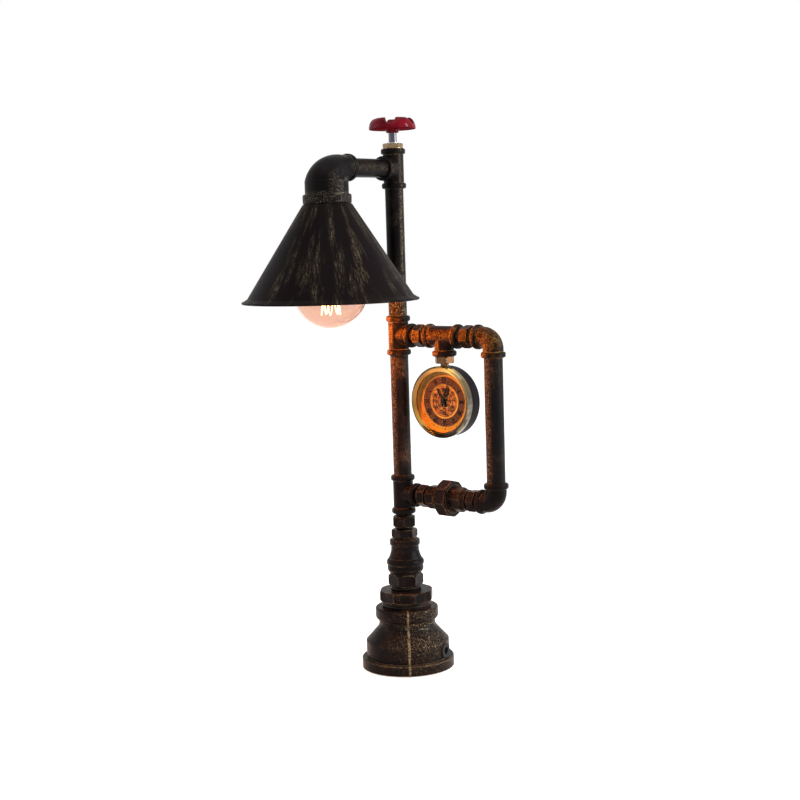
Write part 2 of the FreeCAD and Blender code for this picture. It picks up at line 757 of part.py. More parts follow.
def reducing_elbow():
    """Cast elbow from the arm pipe's thread to the wide banded mouth that holds the lampholder."""
    mouth = V(0, arm_y, shade_z)
    face = V(0, arm_y + elbow_reach, top_tee_z)
    body = elbow_bend()
    barrel = rod(mouth, Z, elbow_big_r, elbow_straight + elbow_overlap)
    band = rod(mouth, Z, elbow_band_r, elbow_band_h)
    band = round_edges(band, elbow_band_round, lambda e: abs(e.Length - 2 * math.pi * elbow_band_r) < 0.01)
    neck = rod(face, ARM, elbow_small_r, elbow_neck + elbow_overlap)
    ring = rod(face, ARM, elbow_ring_r, elbow_ring_w)
    ring = round_edges(ring, bead_round, lambda e: abs(e.Length - 2 * math.pi * elbow_ring_r) < 0.01)
    solid = fused([body, barrel, band, neck, ring])
    corner = V(0, arm_y, top_tee_z)
    seat = V(0, arm_y, holder_z + flat_gap)
    hollow = [rod(mouth, Z, holder_r + holder_fit, holder_in_elbow + flat_gap),
              Part.makeCone(holder_r - elbow_ledge, elbow_turn_r, top_tee_z - seat.z, seat, Z),
              Part.makeSphere(elbow_turn_r, corner),
              rod(face, ARM, passage_r, elbow_reach),
              threaded_socket(face, Y)]
    return solid.cut(fused(hollow))


def shade():
    """Spun steel cone with a flat top under the elbow and a flared lip with a wired edge."""
    drop = shade_z - shade_h
    slope = math.atan2(shade_r - shade_lip_w - shade_top_r, shade_h - shade_lip_h)
    shift = shade_t / math.cos(slope)
    top = shade_z
    cone_r = shade_r - shade_lip_w
    lip_z = drop + shade_lip_h
    tip = shade_r - shade_bead_r
    edges = outline([
        (shade_hole_r, top),
        (shade_top_r, top),
        (cone_r, lip_z),
        (tip, drop + shade_t + 0.5),
        (tip, drop + 0.5),
        (cone_r - shift + 0.6, lip_z - shade_t),
        (shade_top_r - shift + 0.5, top - shade_t),
        (shade_hole_r, top - shade_t),
    ])
    cone = turned_solid(edges)
    wire = Part.makeTorus(tip, shade_bead_r, V(0, 0, drop + shade_bead_r))
    solid = cone.fuse(wire).removeSplitter()
    solid.translate(V(0, arm_y, 0))
    return solid


def shade_ring():
    """Threaded ring that clamps the shade's flat top against the elbow."""
    at = V(0, arm_y, shade_z - shade_t - ring_h)
    ring = rod(at, Z, ring_r, ring_h)
    ring = ring.makeChamfer(0.8, [e for e in ring.Edges if e.BoundBox.ZMax < at.z + 0.1])
    return ring.cut(rod(at, Z, holder_r + thread_fit, ring_h))


def lampholder_body():
    bottom = holder_z - holder_h
    body = rod(V(0, arm_y, bottom), Z, holder_r, holder_h)
    bore = rod(V(0, arm_y, bottom), Z, holder_bore_r, holder_h - holder_roof)
    body = body.cut(bore)
    for side in (-1, 1):
        body = body.cut(rod(V(side * wire_gap, arm_y, holder_z - 1.5), Z, wire_r + 0.05, 1.5))
    return body


def screw_shell():
    top = holder_z - holder_roof
    sleeve = rod(V(0, arm_y, top - shell_h), Z, holder_bore_r - 0.05, shell_h)
    sleeve = sleeve.cut(rod(V(0, arm_y, top - shell_h), Z, holder_bore_r - 0.05 - shell_t, shell_h))
    return sleeve


def centre_contact():
    at = V(0, arm_y, holder_z - holder_roof - contact_t)
    return rod(at, Z, contact_r, contact_t)


def bulb_cap():
    """Screw cap: shell, insulating slope and contact tip."""
    shoulder = tip_z - cap_tip_h - cap_slope_h
    low = tip_z - cap_h
    shell = rod(V(0, arm_y, low), Z, cap_r, shoulder - low)
    slope = Part.makeCone(cap_r, cap_tip_r + 1, cap_slope_h, V(0, arm_y, shoulder), Z)
    tip = rod(V(0, arm_y, tip_z - cap_tip_h), Z, cap_tip_r, cap_tip_h)
    inside = rod(V(0, arm_y, low), Z, cap_r - cap_wall, shoulder - low - 1)
    return fused([shell, slope, tip]).cut(inside)


def bulb_outline(inset):
    """Pear-shaped envelope: a sphere that draws in to the neck inside the cap."""
    r = bulb_r - inset
    neck = bulb_neck_r - inset
    lean = math.radians(38)
    join = (r * math.cos(lean), bulb_z + r * math.sin(lean))
    low = tip_z - cap_h
    waist = ((join[0] + neck) / 2 - 1.0, (join[1] + low) / 2)
    seat = low + 6.0 - inset
    return [
        arc_through((0, bulb_z - r), (r * math.cos(lean), bulb_z - r * math.sin(lean)), join),
        arc_through(join, waist, (neck, low)),
        line((neck, low), (neck, seat)),
        line((neck, seat), (0, seat)),
        line((0, seat), (0, bulb_z - r)),
    ]


def bulb_glass():
    glass = turned_solid(bulb_outline(0)).cut(turned_solid(bulb_outline(bulb_wall)))
    glass.translate(V(0, arm_y, 0))
    return glass


def bulb_stem():
    """Glass mount inside the bulb: a flared foot on the neck and a rod that carries the filament."""
    seat = tip_z - cap_h + 6.0 - bulb_wall
    foot = Part.makeCone(stem_r - 2.5, stem_r, 8.0, V(0, arm_y, seat - 8.0), Z)
    return foot.fuse(rod(V(0, arm_y, seat - stem_len), Z, stem_rod_r, stem_len)).removeSplitter()


def bulb_filament():
    """Two lead wires and a hooped filament hung from them."""
    top = tip_z - cap_h + 6.0 - bulb_wall - 8.0
    low = bulb_z - bulb_r + filament_rise
    half = filament_span / 2
    left = V(-half, arm_y, low + filament_hoop_h)
    right = V(half, arm_y, low + filament_hoop_h)
    hoop = Part.Arc(left, V(0, arm_y, low), right).toShape()
    solids = []
    for end in (left, right):
        start = V(math.copysign(lead_gap, end.x), arm_y, top)
        solids.append(rod(start, end - start, filament_r, (end - start).Length))
    tangent = hoop.tangentAt(hoop.FirstParameter)
    section = Part.Wire(Part.Circle(left, tangent, filament_r).toShape())
    solids.append(Part.Wire([hoop]).makePipeShell([section], True, False))
    solids.append(Part.makeSphere(filament_r, left))
    solids.append(Part.makeSphere(filament_r, right))
    return fused(solids)


def union_tail():
    """Plain half of the union: a grip and a flare outside the nut, a neck and a collar inside it."""
    at = V(union_x, 0, low_tee_z)
    grip = placed(prism(tail_af, 8, tail_grip_w, hex_chamfer), at, X, tail_spin)
    seat = union_nut_x + union_nut_lip
    flare_x = union_x + tail_grip_w
    flare_w = union_nut_x - flat_gap - flare_x
    flare = Part.makeCone(tail_neck_r, tail_flare_r, flare_w, V(flare_x, 0, low_tee_z), X)
    neck = rod(at, X, tail_neck_r, seat - union_x)
    collar = rod(V(seat, 0, low_tee_z), X, collar_r, collar_w)
    end = seat + collar_w
    hollow = fused([rod(at, X, passage_r, end - union_x), threaded_socket(at, X * -1)])
    return fused([grip, flare, neck, collar]).cut(hollow)


def union_nut():
    """Octagonal nut that draws the two halves together."""
    at = V(union_nut_x, 0, low_tee_z)
    nut = placed(prism(union_nut_af, 8, union_nut_w, union_nut_chamfer), at, X, nut_spin)
    inside = rod(at + X * union_nut_lip, X, union_thread_r + thread_fit, union_nut_w - union_nut_lip)
    return nut.cut(inside).cut(rod(at, X, tail_neck_r + flat_gap, union_nut_w))


def union_head():
    """Threaded half of the union, with the grip that takes the nipple to the elbow."""
    seat = V(union_nut_x + union_nut_lip + collar_w, 0, low_tee_z)
    grip_x = union_nut_x + union_nut_w + flat_gap
    thread = rod(seat, X, union_thread_r, union_nut_x + union_nut_w - seat.x)
    grip = placed(prism(head_af, 8, head_grip_w, head_chamfer), V(grip_x, 0, low_tee_z), X, head_spin)
    link = rod(seat, X, head_end_r, union_end - seat.x)
    passage = rod(seat, X, passage_r, union_end - seat.x)
    return fused([thread, grip, link]).cut(passage).cut(threaded_socket(V(union_end, 0, low_tee_z), X))


def gauge_stem():
    """Brass hex stem screwed up into the clock tee and down into the case's top."""
    top = V(clock_x, 0, stem_z)
    grip = placed(prism(stem_hex_af, 6, stem_hex_h, 0.8), V(clock_x, 0, stem_z - stem_hex_h), Z, stem_spin)
    low = stem_z - stem_hex_h - stem_neck_h - stem_into_case
    neck = rod(V(clock_x, 0, low), Z, stem_neck_r, stem_neck_h + stem_into_case)
    return fused([grip, neck, male_thread(top, Z)])


def gauge_housing():
    """Drum of the gauge case: closed back, open front with a thin thread for the bezel."""
    centre = V(clock_x, 0, clock_z)
    front = centre + Y * case_front
    drum = rod(front + Y * bezel_lap, Y, case_r, case_depth - bezel_lap)
    drum = round_edges(drum, 1.6, lambda e: e.BoundBox.YMin > case_back - 0.1)
    lap = rod(front, Y, bezel_r - case_wall, bezel_lap)
    boss = rod(V(clock_x, 0, clock_z + case_r - stem_into_case - 0.4), Z, stem_neck_r + 1.2, stem_into_case)
    hollow = rod(front, Y, insert_r + plate_fit, case_depth - case_wall)
    hollow = hollow.cut(boss)
    solid = fused([drum, lap]).cut(hollow)
    stem_hole = rod(V(clock_x, 0, clock_z + case_r - stem_into_case), Z, stem_neck_r + thread_fit,
                    stem_into_case + 1)
    return solid.cut(stem_hole)


def gauge_bezel():
    """Polished ring over the case's front edge, sloping in to the glass."""
    lap_r = bezel_r - case_wall + thread_fit
    depth = bezel_depth
    glass = depth - bezel_lap
    edges = outline([
        (bezel_open_r, glass - lens_t),
        (bezel_open_r, glass - lens_t - 0.5),
        (bezel_face_r - 1.2, 0.8),
        (bezel_face_r, 0),
        (bezel_r - 0.9, 0),
        (bezel_r, 0.9),
        (bezel_r, depth),
        (lap_r, depth),
        (lap_r, glass),
        (lens_r + thread_fit, glass),
        (lens_r + thread_fit, glass - lens_t),
    ])
    return placed(turned_solid(edges), V(clock_x, bezel_front, clock_z), Y)


def gauge_lens():
    return rod(V(clock_x, case_front - lens_t, clock_z), Y, lens_r, lens_t)


def insert_case():
    """Moulded tray behind the glass that carries the dial and the movement."""
    front = V(clock_x, case_front, clock_z)
    tray = rod(front, Y, insert_r, insert_depth)
    room = rod(front, Y, insert_r - insert_wall, insert_depth - insert_floor)
    hole = rod(front, Y, hour_tube_r + 1.0, insert_depth)
    return tray.cut(room).cut(hole)


def dial():
    disc = rod(V(clock_x, dial_front, clock_z), Y, insert_r - insert_wall - thread_fit, dial_t)
    return disc.cut(rod(V(clock_x, dial_front, clock_z), Y, hour_tube_r + 0.8, dial_t))


def clock_movement():
    """Square quartz movement with rounded corners, a bearing nose for the hands and a cell well."""
    half = movement_w / 2
    box = Part.makeBox(movement_w, movement_t, movement_w, V(clock_x - half, movement_y, clock_z - half))
    box = round_edges(box, 4.0, lambda e: e.BoundBox.YLength > movement_t / 2 and "Line" in e.Curve.TypeId)
    bore = rod(V(clock_x, movement_y, clock_z), Y, arbor_r + turn_fit, movement_t)
    tube = rod(V(clock_x, movement_y, clock_z), Y, hour_tube_r + turn_fit, movement_t / 2)
    well = rod(V(clock_x, movement_y + movement_t - cell_t, clock_z - cell_shift), Y, cell_r + 0.1, cell_t)
    return box.cut(fused([bore, tube, well]))


def clock_cell():
    return rod(V(clock_x, movement_y + movement_t - cell_t, clock_z - cell_shift), Y, cell_r, cell_t)


def hand(length, width, tail, angle, y, hub_r, hole_r):
    """Flat hand with a tapered blade, a short tail and a round hub, clockwise from twelve."""
    points = [V(-width * 0.3, 0, -tail), V(-width / 2, 0, length * 0.55), V(0, 0, length),
              V(width / 2, 0, length * 0.55), V(width * 0.3, 0, -tail), V(-width * 0.3, 0, -tail)]
    blade = Part.Face(Part.makePolygon(points)).extrude(V(0, hand_t, 0))
    solid = blade.fuse(rod(ORIGIN, Y, hub_r, hand_t)).cut(rod(ORIGIN, Y, hole_r, hand_t))
    solid = solid.removeSplitter()
    solid.rotate(ORIGIN, Y, angle)
    solid.translate(V(clock_x, y, clock_z))
    return solid


def hour_hand():
    """Hour hand pressed on its tube, which turns round the minute arbor."""
    y = hour_y
    blade = hand(hour_hand_len, hour_hand_w, hand_tail, hour_angle, y, hour_tube_r + 0.8, hour_tube_r - 0.1)
    end = movement_y + movement_t / 2 - flat_gap
    tube = rod(V(clock_x, y, clock_z), Y, hour_tube_r, end - y)
    solid = fused([blade, tube])
    return solid.cut(rod(V(clock_x, y, clock_z), Y, arbor_r + turn_fit, end - y))


def minute_hand():
    hole_r = arbor_r + 0.02
    return hand(minute_hand_len, minute_hand_w, hand_tail, minute_angle, minute_y, hour_tube_r, hole_r)


def minute_arbor():
    """Steel arbor through the movement, with the setting knob behind it."""
    back = movement_y + movement_t
    arbor = rod(V(clock_x, minute_y, clock_z), Y, arbor_r, back + flat_gap + knob_t - minute_y)
    return arbor.fuse(rod(V(clock_x, back + flat_gap, clock_z), Y, knob_r - 0.6, knob_t)).removeSplitter()


def hand_cap():
    cap = rod(V(clock_x, minute_y - hand_cap_t, clock_z), Y, hand_cap_r, hand_cap_t)
    return round_edges(cap, 0.35, lambda e: e.BoundBox.YMax < minute_y - hand_cap_t + 0.1)


def supply_wires():
    """Pair of wires up the pole from the terminal block to the switch."""
    low = felt_t + plate_t + ballast_h + block_size[2] - 2.0
    top = tee_top - switch_can_h
    return Part.makeCompound([rod(V(side * wire_gap, 0, low), Z, wire_r, top - low) for side in (-1, 1)])


def lamp_wires():
    """Pair of wires from the switch, along the arm and down into the lampholder."""
    r = lamp_wire_bend
    wires = []
    for side in (-1, 1):
        x = side * wire_gap
        start = V(x, -2.6, tee_top - switch_can_h)
        corner = V(x, -2.6, top_tee_z)
        far = V(x, arm_y, top_tee_z)
        low = V(x, arm_y, holder_z - 1.5)
        near = 1 - 1 / math.sqrt(2)
        first = Part.Arc(corner + Z * r, corner + (Z + ARM) * (r * near), corner + ARM * r)
        second = Part.Arc(far + Y * r, far + (Y + DOWN) * (r * near), far + DOWN * r)
        path = Part.Wire([Part.makeLine(start, corner + Z * r), first.toShape(),
                          Part.makeLine(corner + ARM * r, far + Y * r), second.toShape(),
                          Part.makeLine(far + DOWN * r, low)])
        ring = Part.Wire(Part.Circle(start, Z, wire_r).toShape())
        wires.append(path.makePipeShell([ring], True, False))
    return Part.makeCompound(wires)


# Places inside the clock
dial_front = case_front + insert_depth - insert_floor - dial_t
movement_y = case_front + insert_depth
hour_y = dial_front - hand_gap - hand_t
minute_y = hour_y - hand_gap - hand_t

parts = {
    "base_bell": base_bell(),
    "base_plate": base_plate(),
    "base_screws": base_screws(),
    "felt_pad": felt_pad(),
    "base_ballast": base_ballast(),
    "terminal_block": terminal_block(),
    "cord_grommet": cord_grommet(),
    "base_bushing": base_bushing(),
    "base_nipple": base_nipple(),
    "reducing_socket": reducing_socket(),
    "hex_bushing": hex_bushing(),
    "pole_nipple": hex_nipple(V(0, 0, reducer_top), Z, pole_nipple_gap, pole_nipple_hex_w, pole_nipple_spin,
                              pole_nipple_af, pole_nipple_chamfer),
    "lower_tee": tee(V(0, 0, low_tee_z), Z, X),
    "lower_pole": pipe(V(0, 0, low_tee_z + fitting_half), Z, lower_pole_len),
    "middle_tee": tee(V(0, 0, mid_tee_z), Z, X),
    "upper_pole": pipe(V(0, 0, mid_tee_z + fitting_half), Z, upper_pole_len),
    "top_tee": tee(V(0, 0, top_tee_z), Z, ARM),
    "switch_washer": switch_washer(),
    "switch_nut": switch_nut(),
    "switch_body": switch_body(),
    "switch_shaft": switch_shaft(),
    "handwheel": handwheel(),
    "wheel_screw": wheel_screw(),
    "arm_pipe": pipe(V(0, -fitting_half, top_tee_z), ARM, arm_pipe_len),
    "reducing_elbow": reducing_elbow(),
    "shade": shade(),
    "shade_ring": shade_ring(),
    "lampholder_body": lampholder_body(),
    "screw_shell": screw_shell(),
    "centre_contact": centre_contact(),
    "bulb_cap": bulb_cap(),
    "bulb_glass": bulb_glass(),
    "bulb_stem": bulb_stem(),
    "bulb_filament": bulb_filament(),
    "upper_nipple_a": hex_nipple(V(fitting_half, 0, mid_tee_z), X, nipple_a_gap),
    "clock_tee": tee(V(clock_x, 0, mid_tee_z), X, DOWN),
    "upper_nipple_b": hex_nipple(V(clock_x + fitting_half, 0, mid_tee_z), X, nipple_b_gap,
                                 spin=nipple_b_spin),
    "upper_elbow": elbow(V(loop_x, 0, mid_tee_z), -90),
    "loop_pipe": pipe(V(loop_x, 0, low_tee_z + fitting_half), Z, lower_pole_len),
    "lower_elbow": elbow(V(loop_x, 0, low_tee_z), 0),
    "lower_nipple_a": hex_nipple(V(fitting_half, 0, low_tee_z), X, nipple_c_gap),
    "union_head": union_head(),
    "union_nut": union_nut(),
    "union_tail": union_tail(),
    "lower_nipple_b": hex_nipple(V(union_end, 0, low_tee_z), X, nipple_d_gap, nipple_d_hex_w,
                                 nipple_d_spin),
    "gauge_stem": gauge_stem(),
    "gauge_housing": gauge_housing(),
    "gauge_bezel": gauge_bezel(),
    "gauge_lens": gauge_lens(),
    "insert_case": insert_case(),
    "dial": dial(),
    "clock_movement": clock_movement(),
    "clock_cell": clock_cell(),
    "hour_hand": hour_hand(),
    "minute_hand": minute_hand(),
    "minute_arbor": minute_arbor(),
    "hand_cap": hand_cap(),
    "supply_wires": supply_wires(),
    "lamp_wires": lamp_wires(),
}

os.makedirs("parts", exist_ok=True)
for name, shape in parts.items():
    shape.exportStep("parts/" + name + ".step")
    print(name, "solids", len(shape.Solids), "valid", shape.isValid(), "volume", round(shape.Volume, 1))
print("height", round(wheel_top, 2), "arm", round(arm_y, 2), "loop", round(loop_x, 2))
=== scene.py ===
import math

import bpy
from mathutils import Matrix, Vector


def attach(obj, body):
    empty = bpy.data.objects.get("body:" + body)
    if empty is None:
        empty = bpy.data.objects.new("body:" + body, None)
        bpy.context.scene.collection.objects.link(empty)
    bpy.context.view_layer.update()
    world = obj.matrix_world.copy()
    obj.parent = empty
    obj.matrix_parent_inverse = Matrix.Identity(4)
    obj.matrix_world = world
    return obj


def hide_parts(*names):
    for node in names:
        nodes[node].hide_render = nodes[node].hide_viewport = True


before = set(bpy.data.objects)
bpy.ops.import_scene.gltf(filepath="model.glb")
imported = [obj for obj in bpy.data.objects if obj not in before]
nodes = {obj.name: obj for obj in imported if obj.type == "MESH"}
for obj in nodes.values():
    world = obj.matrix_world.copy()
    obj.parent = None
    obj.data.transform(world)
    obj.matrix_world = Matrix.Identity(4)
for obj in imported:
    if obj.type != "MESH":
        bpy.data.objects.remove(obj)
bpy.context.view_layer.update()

# Camera: it stands where the photographer stood, a step away to the right of the lamp's front, at the
# height of the shade, looking down a little and leaning a little.
MM = 0.001
camera_distance = 1245.2 * MM
camera_height = 362.45 * MM
camera_azimuth = math.radians(37.84)
camera_turn = math.radians(0.02)
camera_pitch = math.radians(6.26)
camera_roll = math.radians(-1.745)
camera_lens = 67.78
camera_film = 36.0
camera_place = (camera_distance * math.sin(camera_azimuth), -camera_distance * math.cos(camera_azimuth),
                camera_height)

camera_data = bpy.data.cameras.new("camera")
camera_data.lens = camera_lens
camera_data.sensor_width = camera_film
camera_data.clip_start = 0.05
camera_data.clip_end = 50.0


def linked(obj):
    """Puts a new object in the scene."""
    bpy.context.scene.collection.objects.link(obj)
    return obj


camera = linked(bpy.data.objects.new("camera", camera_data))
camera.matrix_world = (
    Matrix.Translation(camera_place)
    @ Matrix.Rotation(camera_azimuth + camera_turn, 4, "Z")
    @ Matrix.Rotation(math.pi / 2 - camera_pitch, 4, "X")
    @ Matrix.Rotation(camera_roll, 4, "Z")
)
bpy.context.scene.camera = camera
bpy.context.scene.view_settings.view_transform = "Standard"


# Floor: a wide sheet of white paper under the lamp. The camera, metal and glass see it white, and it
# keeps the lamp's soft shadow.
class Finish:
    """One material, with short calls for the nodes that make it."""

    def __init__(self, name, **values):
        self.material = bpy.data.materials.new(name)
        self.material.use_nodes = True
        self.tree = self.material.node_tree
        self.shader = self.tree.nodes["Principled BSDF"]
        self.output = self.tree.nodes["Material Output"]
        self.place = None
        self.set(**values)

    def set(self, **values):
        for key, value in values.items():
            self.shader.inputs[key.replace("_", " ")].default_value = value

    def add(self, kind, **values):
        node = self.tree.nodes.new(kind)
        for key, value in values.items():
            if hasattr(node, key):
                setattr(node, key, value)
            else:
                node.inputs[key].default_value = value
        return node

    def wire(self, source, target):
        if isinstance(target, str):
            target = self.shader.inputs[target]
        self.tree.links.new(source, target)

    def here(self):
        if self.place is None:
            self.place = self.add("ShaderNodeTexCoord").outputs["Object"]
        return self.place

    def axes(self, vector):
        node = self.add("ShaderNodeSeparateXYZ")
        self.wire(vector, node.inputs[0])
        return node.outputs["X"], node.outputs["Y"], node.outputs["Z"]

    def here_from(self, centre):
        node = self.add("ShaderNodeVectorMath", operation="SUBTRACT")
        self.wire(self.here(), node.inputs[0])
        node.inputs[1].default_value = centre
        return self.axes(node.outputs["Vector"])

    def dot(self, first, second):
        node = self.add("ShaderNodeVectorMath", operation="DOT_PRODUCT")
        self.wire(first, node.inputs[0])
        if isinstance(second, bpy.types.NodeSocket):
            self.wire(second, node.inputs[1])
        else:
            node.inputs[1].default_value = second
        return node.outputs["Value"]

    def noise(self, scale, detail=3.0, roughness=0.55, stretch=None, place=None):
        source = place or self.here()
        if stretch:
            mapping = self.add("ShaderNodeMapping")
            mapping.inputs["Scale"].default_value = stretch
            self.wire(source, mapping.inputs["Vector"])
            source = mapping.outputs["Vector"]
        node = self.add("ShaderNodeTexNoise", Scale=scale, Detail=detail, Roughness=roughness)
        self.wire(source, node.inputs["Vector"])
        return node.outputs["Fac"]

    def ramp(self, source, *stops):
        node = self.add("ShaderNodeValToRGB")
        elements = node.color_ramp.elements
        while len(elements) < len(stops):
            elements.new(0.5)
        for element, (position, colour) in zip(elements, stops):
            element.position = position
            element.color = (*colour, 1.0)
        self.wire(source, node.inputs["Fac"])
        return node.outputs["Color"]

    def step(self, source, low, high, to_low=0.0, to_high=1.0):
        node = self.add("ShaderNodeMapRange")
        node.inputs["From Min"].default_value = low
        node.inputs["From Max"].default_value = high
        node.inputs["To Min"].default_value = to_low
        node.inputs["To Max"].default_value = to_high
        self.wire(source, node.inputs["Value"])
        return node.outputs["Result"]

    def math(self, operation, first, second=0.0):
        node = self.add("ShaderNodeMath", operation=operation)
        for value, socket in ((first, node.inputs[0]), (second, node.inputs[1])):
            if isinstance(value, (int, float)):
                socket.default_value = value
            else:
                self.wire(value, socket)
        return node.outputs["Value"]

    def mix(self, factor, first, second):
        node = self.add("ShaderNodeMix", data_type="RGBA")
        for value, socket in zip((factor, first, second), (node.inputs[0], node.inputs[6], node.inputs[7])):
            if isinstance(value, tuple):
                socket.default_value = (*value, 1.0)
            elif isinstance(value, (int, float)):
                socket.default_value = value
            else:
                self.wire(value, socket)
        return node.outputs[2]

    def bump(self, height, strength, distance, round_radius=0.0):
        node = self.add("ShaderNodeBump", Strength=strength, Distance=distance)
        self.wire(height, node.inputs["Height"])
        if round_radius:
            self.wire(self.add("ShaderNodeBevel", samples=4, Radius=round_radius).outputs["Normal"],
                      node.inputs["Normal"])
        self.wire(node.outputs["Normal"], "Normal")


floor_half = 4.0
floor_glow = 0.56
floor_corners = [(x * floor_half, y * floor_half, 0) for x, y in ((-1, -1), (1, -1), (1, 1), (-1, 1))]
floor_mesh = bpy.data.meshes.new("floor")
floor_mesh.from_pydata(floor_corners, [], [(0, 1, 2, 3)])
floor = linked(bpy.data.objects.new("floor", floor_mesh))
paper = Finish("white_paper", Base_Color=(0.86, 0.86, 0.86, 1), Roughness=0.85)
sight = paper.add("ShaderNodeLightPath")
glow = paper.add("ShaderNodeEmission", Color=(1, 1, 1, 1))
seen = paper.math("MAXIMUM", sight.outputs["Is Camera Ray"], sight.outputs["Is Glossy Ray"])
seen = paper.math("MAXIMUM", seen, sight.outputs["Is Transmission Ray"])
paper.wire(paper.math("MULTIPLY", seen, floor_glow), glow.inputs["Strength"])
both = paper.add("ShaderNodeAddShader")
paper.wire(paper.shader.outputs[0], both.inputs[0])
paper.wire(glow.outputs[0], both.inputs[1])
paper.wire(both.outputs[0], paper.output.inputs["Surface"])
floor_mesh.materials.append(paper.material)

# Studio: a white surround that is seen at full strength and lights the lamp at a plain level, with three
# large soft lamps, the strongest from the right and a little behind.
world_seen = 1.0
world_light = 0.55
world = bpy.data.worlds.new("studio")
bpy.context.scene.world = world
world.use_nodes = True
sky = world.node_tree.nodes
sky_links = world.node_tree.links
path = sky.new("ShaderNodeLightPath")
seen = path.outputs["Is Camera Ray"]
for ray in ("Is Glossy Ray", "Is Transmission Ray"):
    most = sky.new("ShaderNodeMath")
    most.operation = "MAXIMUM"
    sky_links.new(seen, most.inputs[0])
    sky_links.new(path.outputs[ray], most.inputs[1])
    seen = most.outputs[0]
level = sky.new("ShaderNodeMapRange")
level.inputs["To Min"].default_value = world_light
level.inputs["To Max"].default_value = world_seen
sky_links.new(seen, level.inputs["Value"])
sky_links.new(level.outputs["Result"], sky["Background"].inputs["Strength"])
sky["Background"].inputs["Color"].default_value = (1, 1, 1, 1)


def soft_lamp(name, place, aim, size, power, colour):
    """A rectangular lamp of a size in metres and a power in watts, turned to its aim."""
    data = bpy.data.lights.new(name, "AREA")
    data.shape = "RECTANGLE"
    data.size, data.size_y = size
    data.energy = power
    data.color = colour
    lamp = linked(bpy.data.objects.new(name, data))
    lamp.location = place
    lamp.rotation_euler = (Vector(aim) - Vector(place)).to_track_quat("-Z", "Y").to_euler()


soft_lamp("key_right", (1.4, 0.70, 0.75), (0, 0, 0.25), (0.35, 1.0), 34.0, (0.96, 0.97, 1.0))
soft_lamp("fill_left", (-1.3, -1.0, 0.8), (0, 0, 0.25), (0.8, 1.0), 5.0, (1.0, 0.95, 0.9))
soft_lamp("top", (0.2, -0.3, 1.6), (0, 0, 0.2), (1.2, 1.2), 8.0, (1.0, 1.0, 1.0))


# Base casting: a heavy grey iron bell reducer, sand cast in two halves that leave a raised seam, then
# blackened all over and dry brushed with bronze, which catches on edges, on the seam and on the grain.
def finish_node(name, material):
    """Gives one CAD node its finish."""
    obj = nodes[name]
    if not obj.material_slots:
        obj.data.materials.append(material)
    for slot in obj.material_slots:
        slot.link = "OBJECT"
        slot.material = material


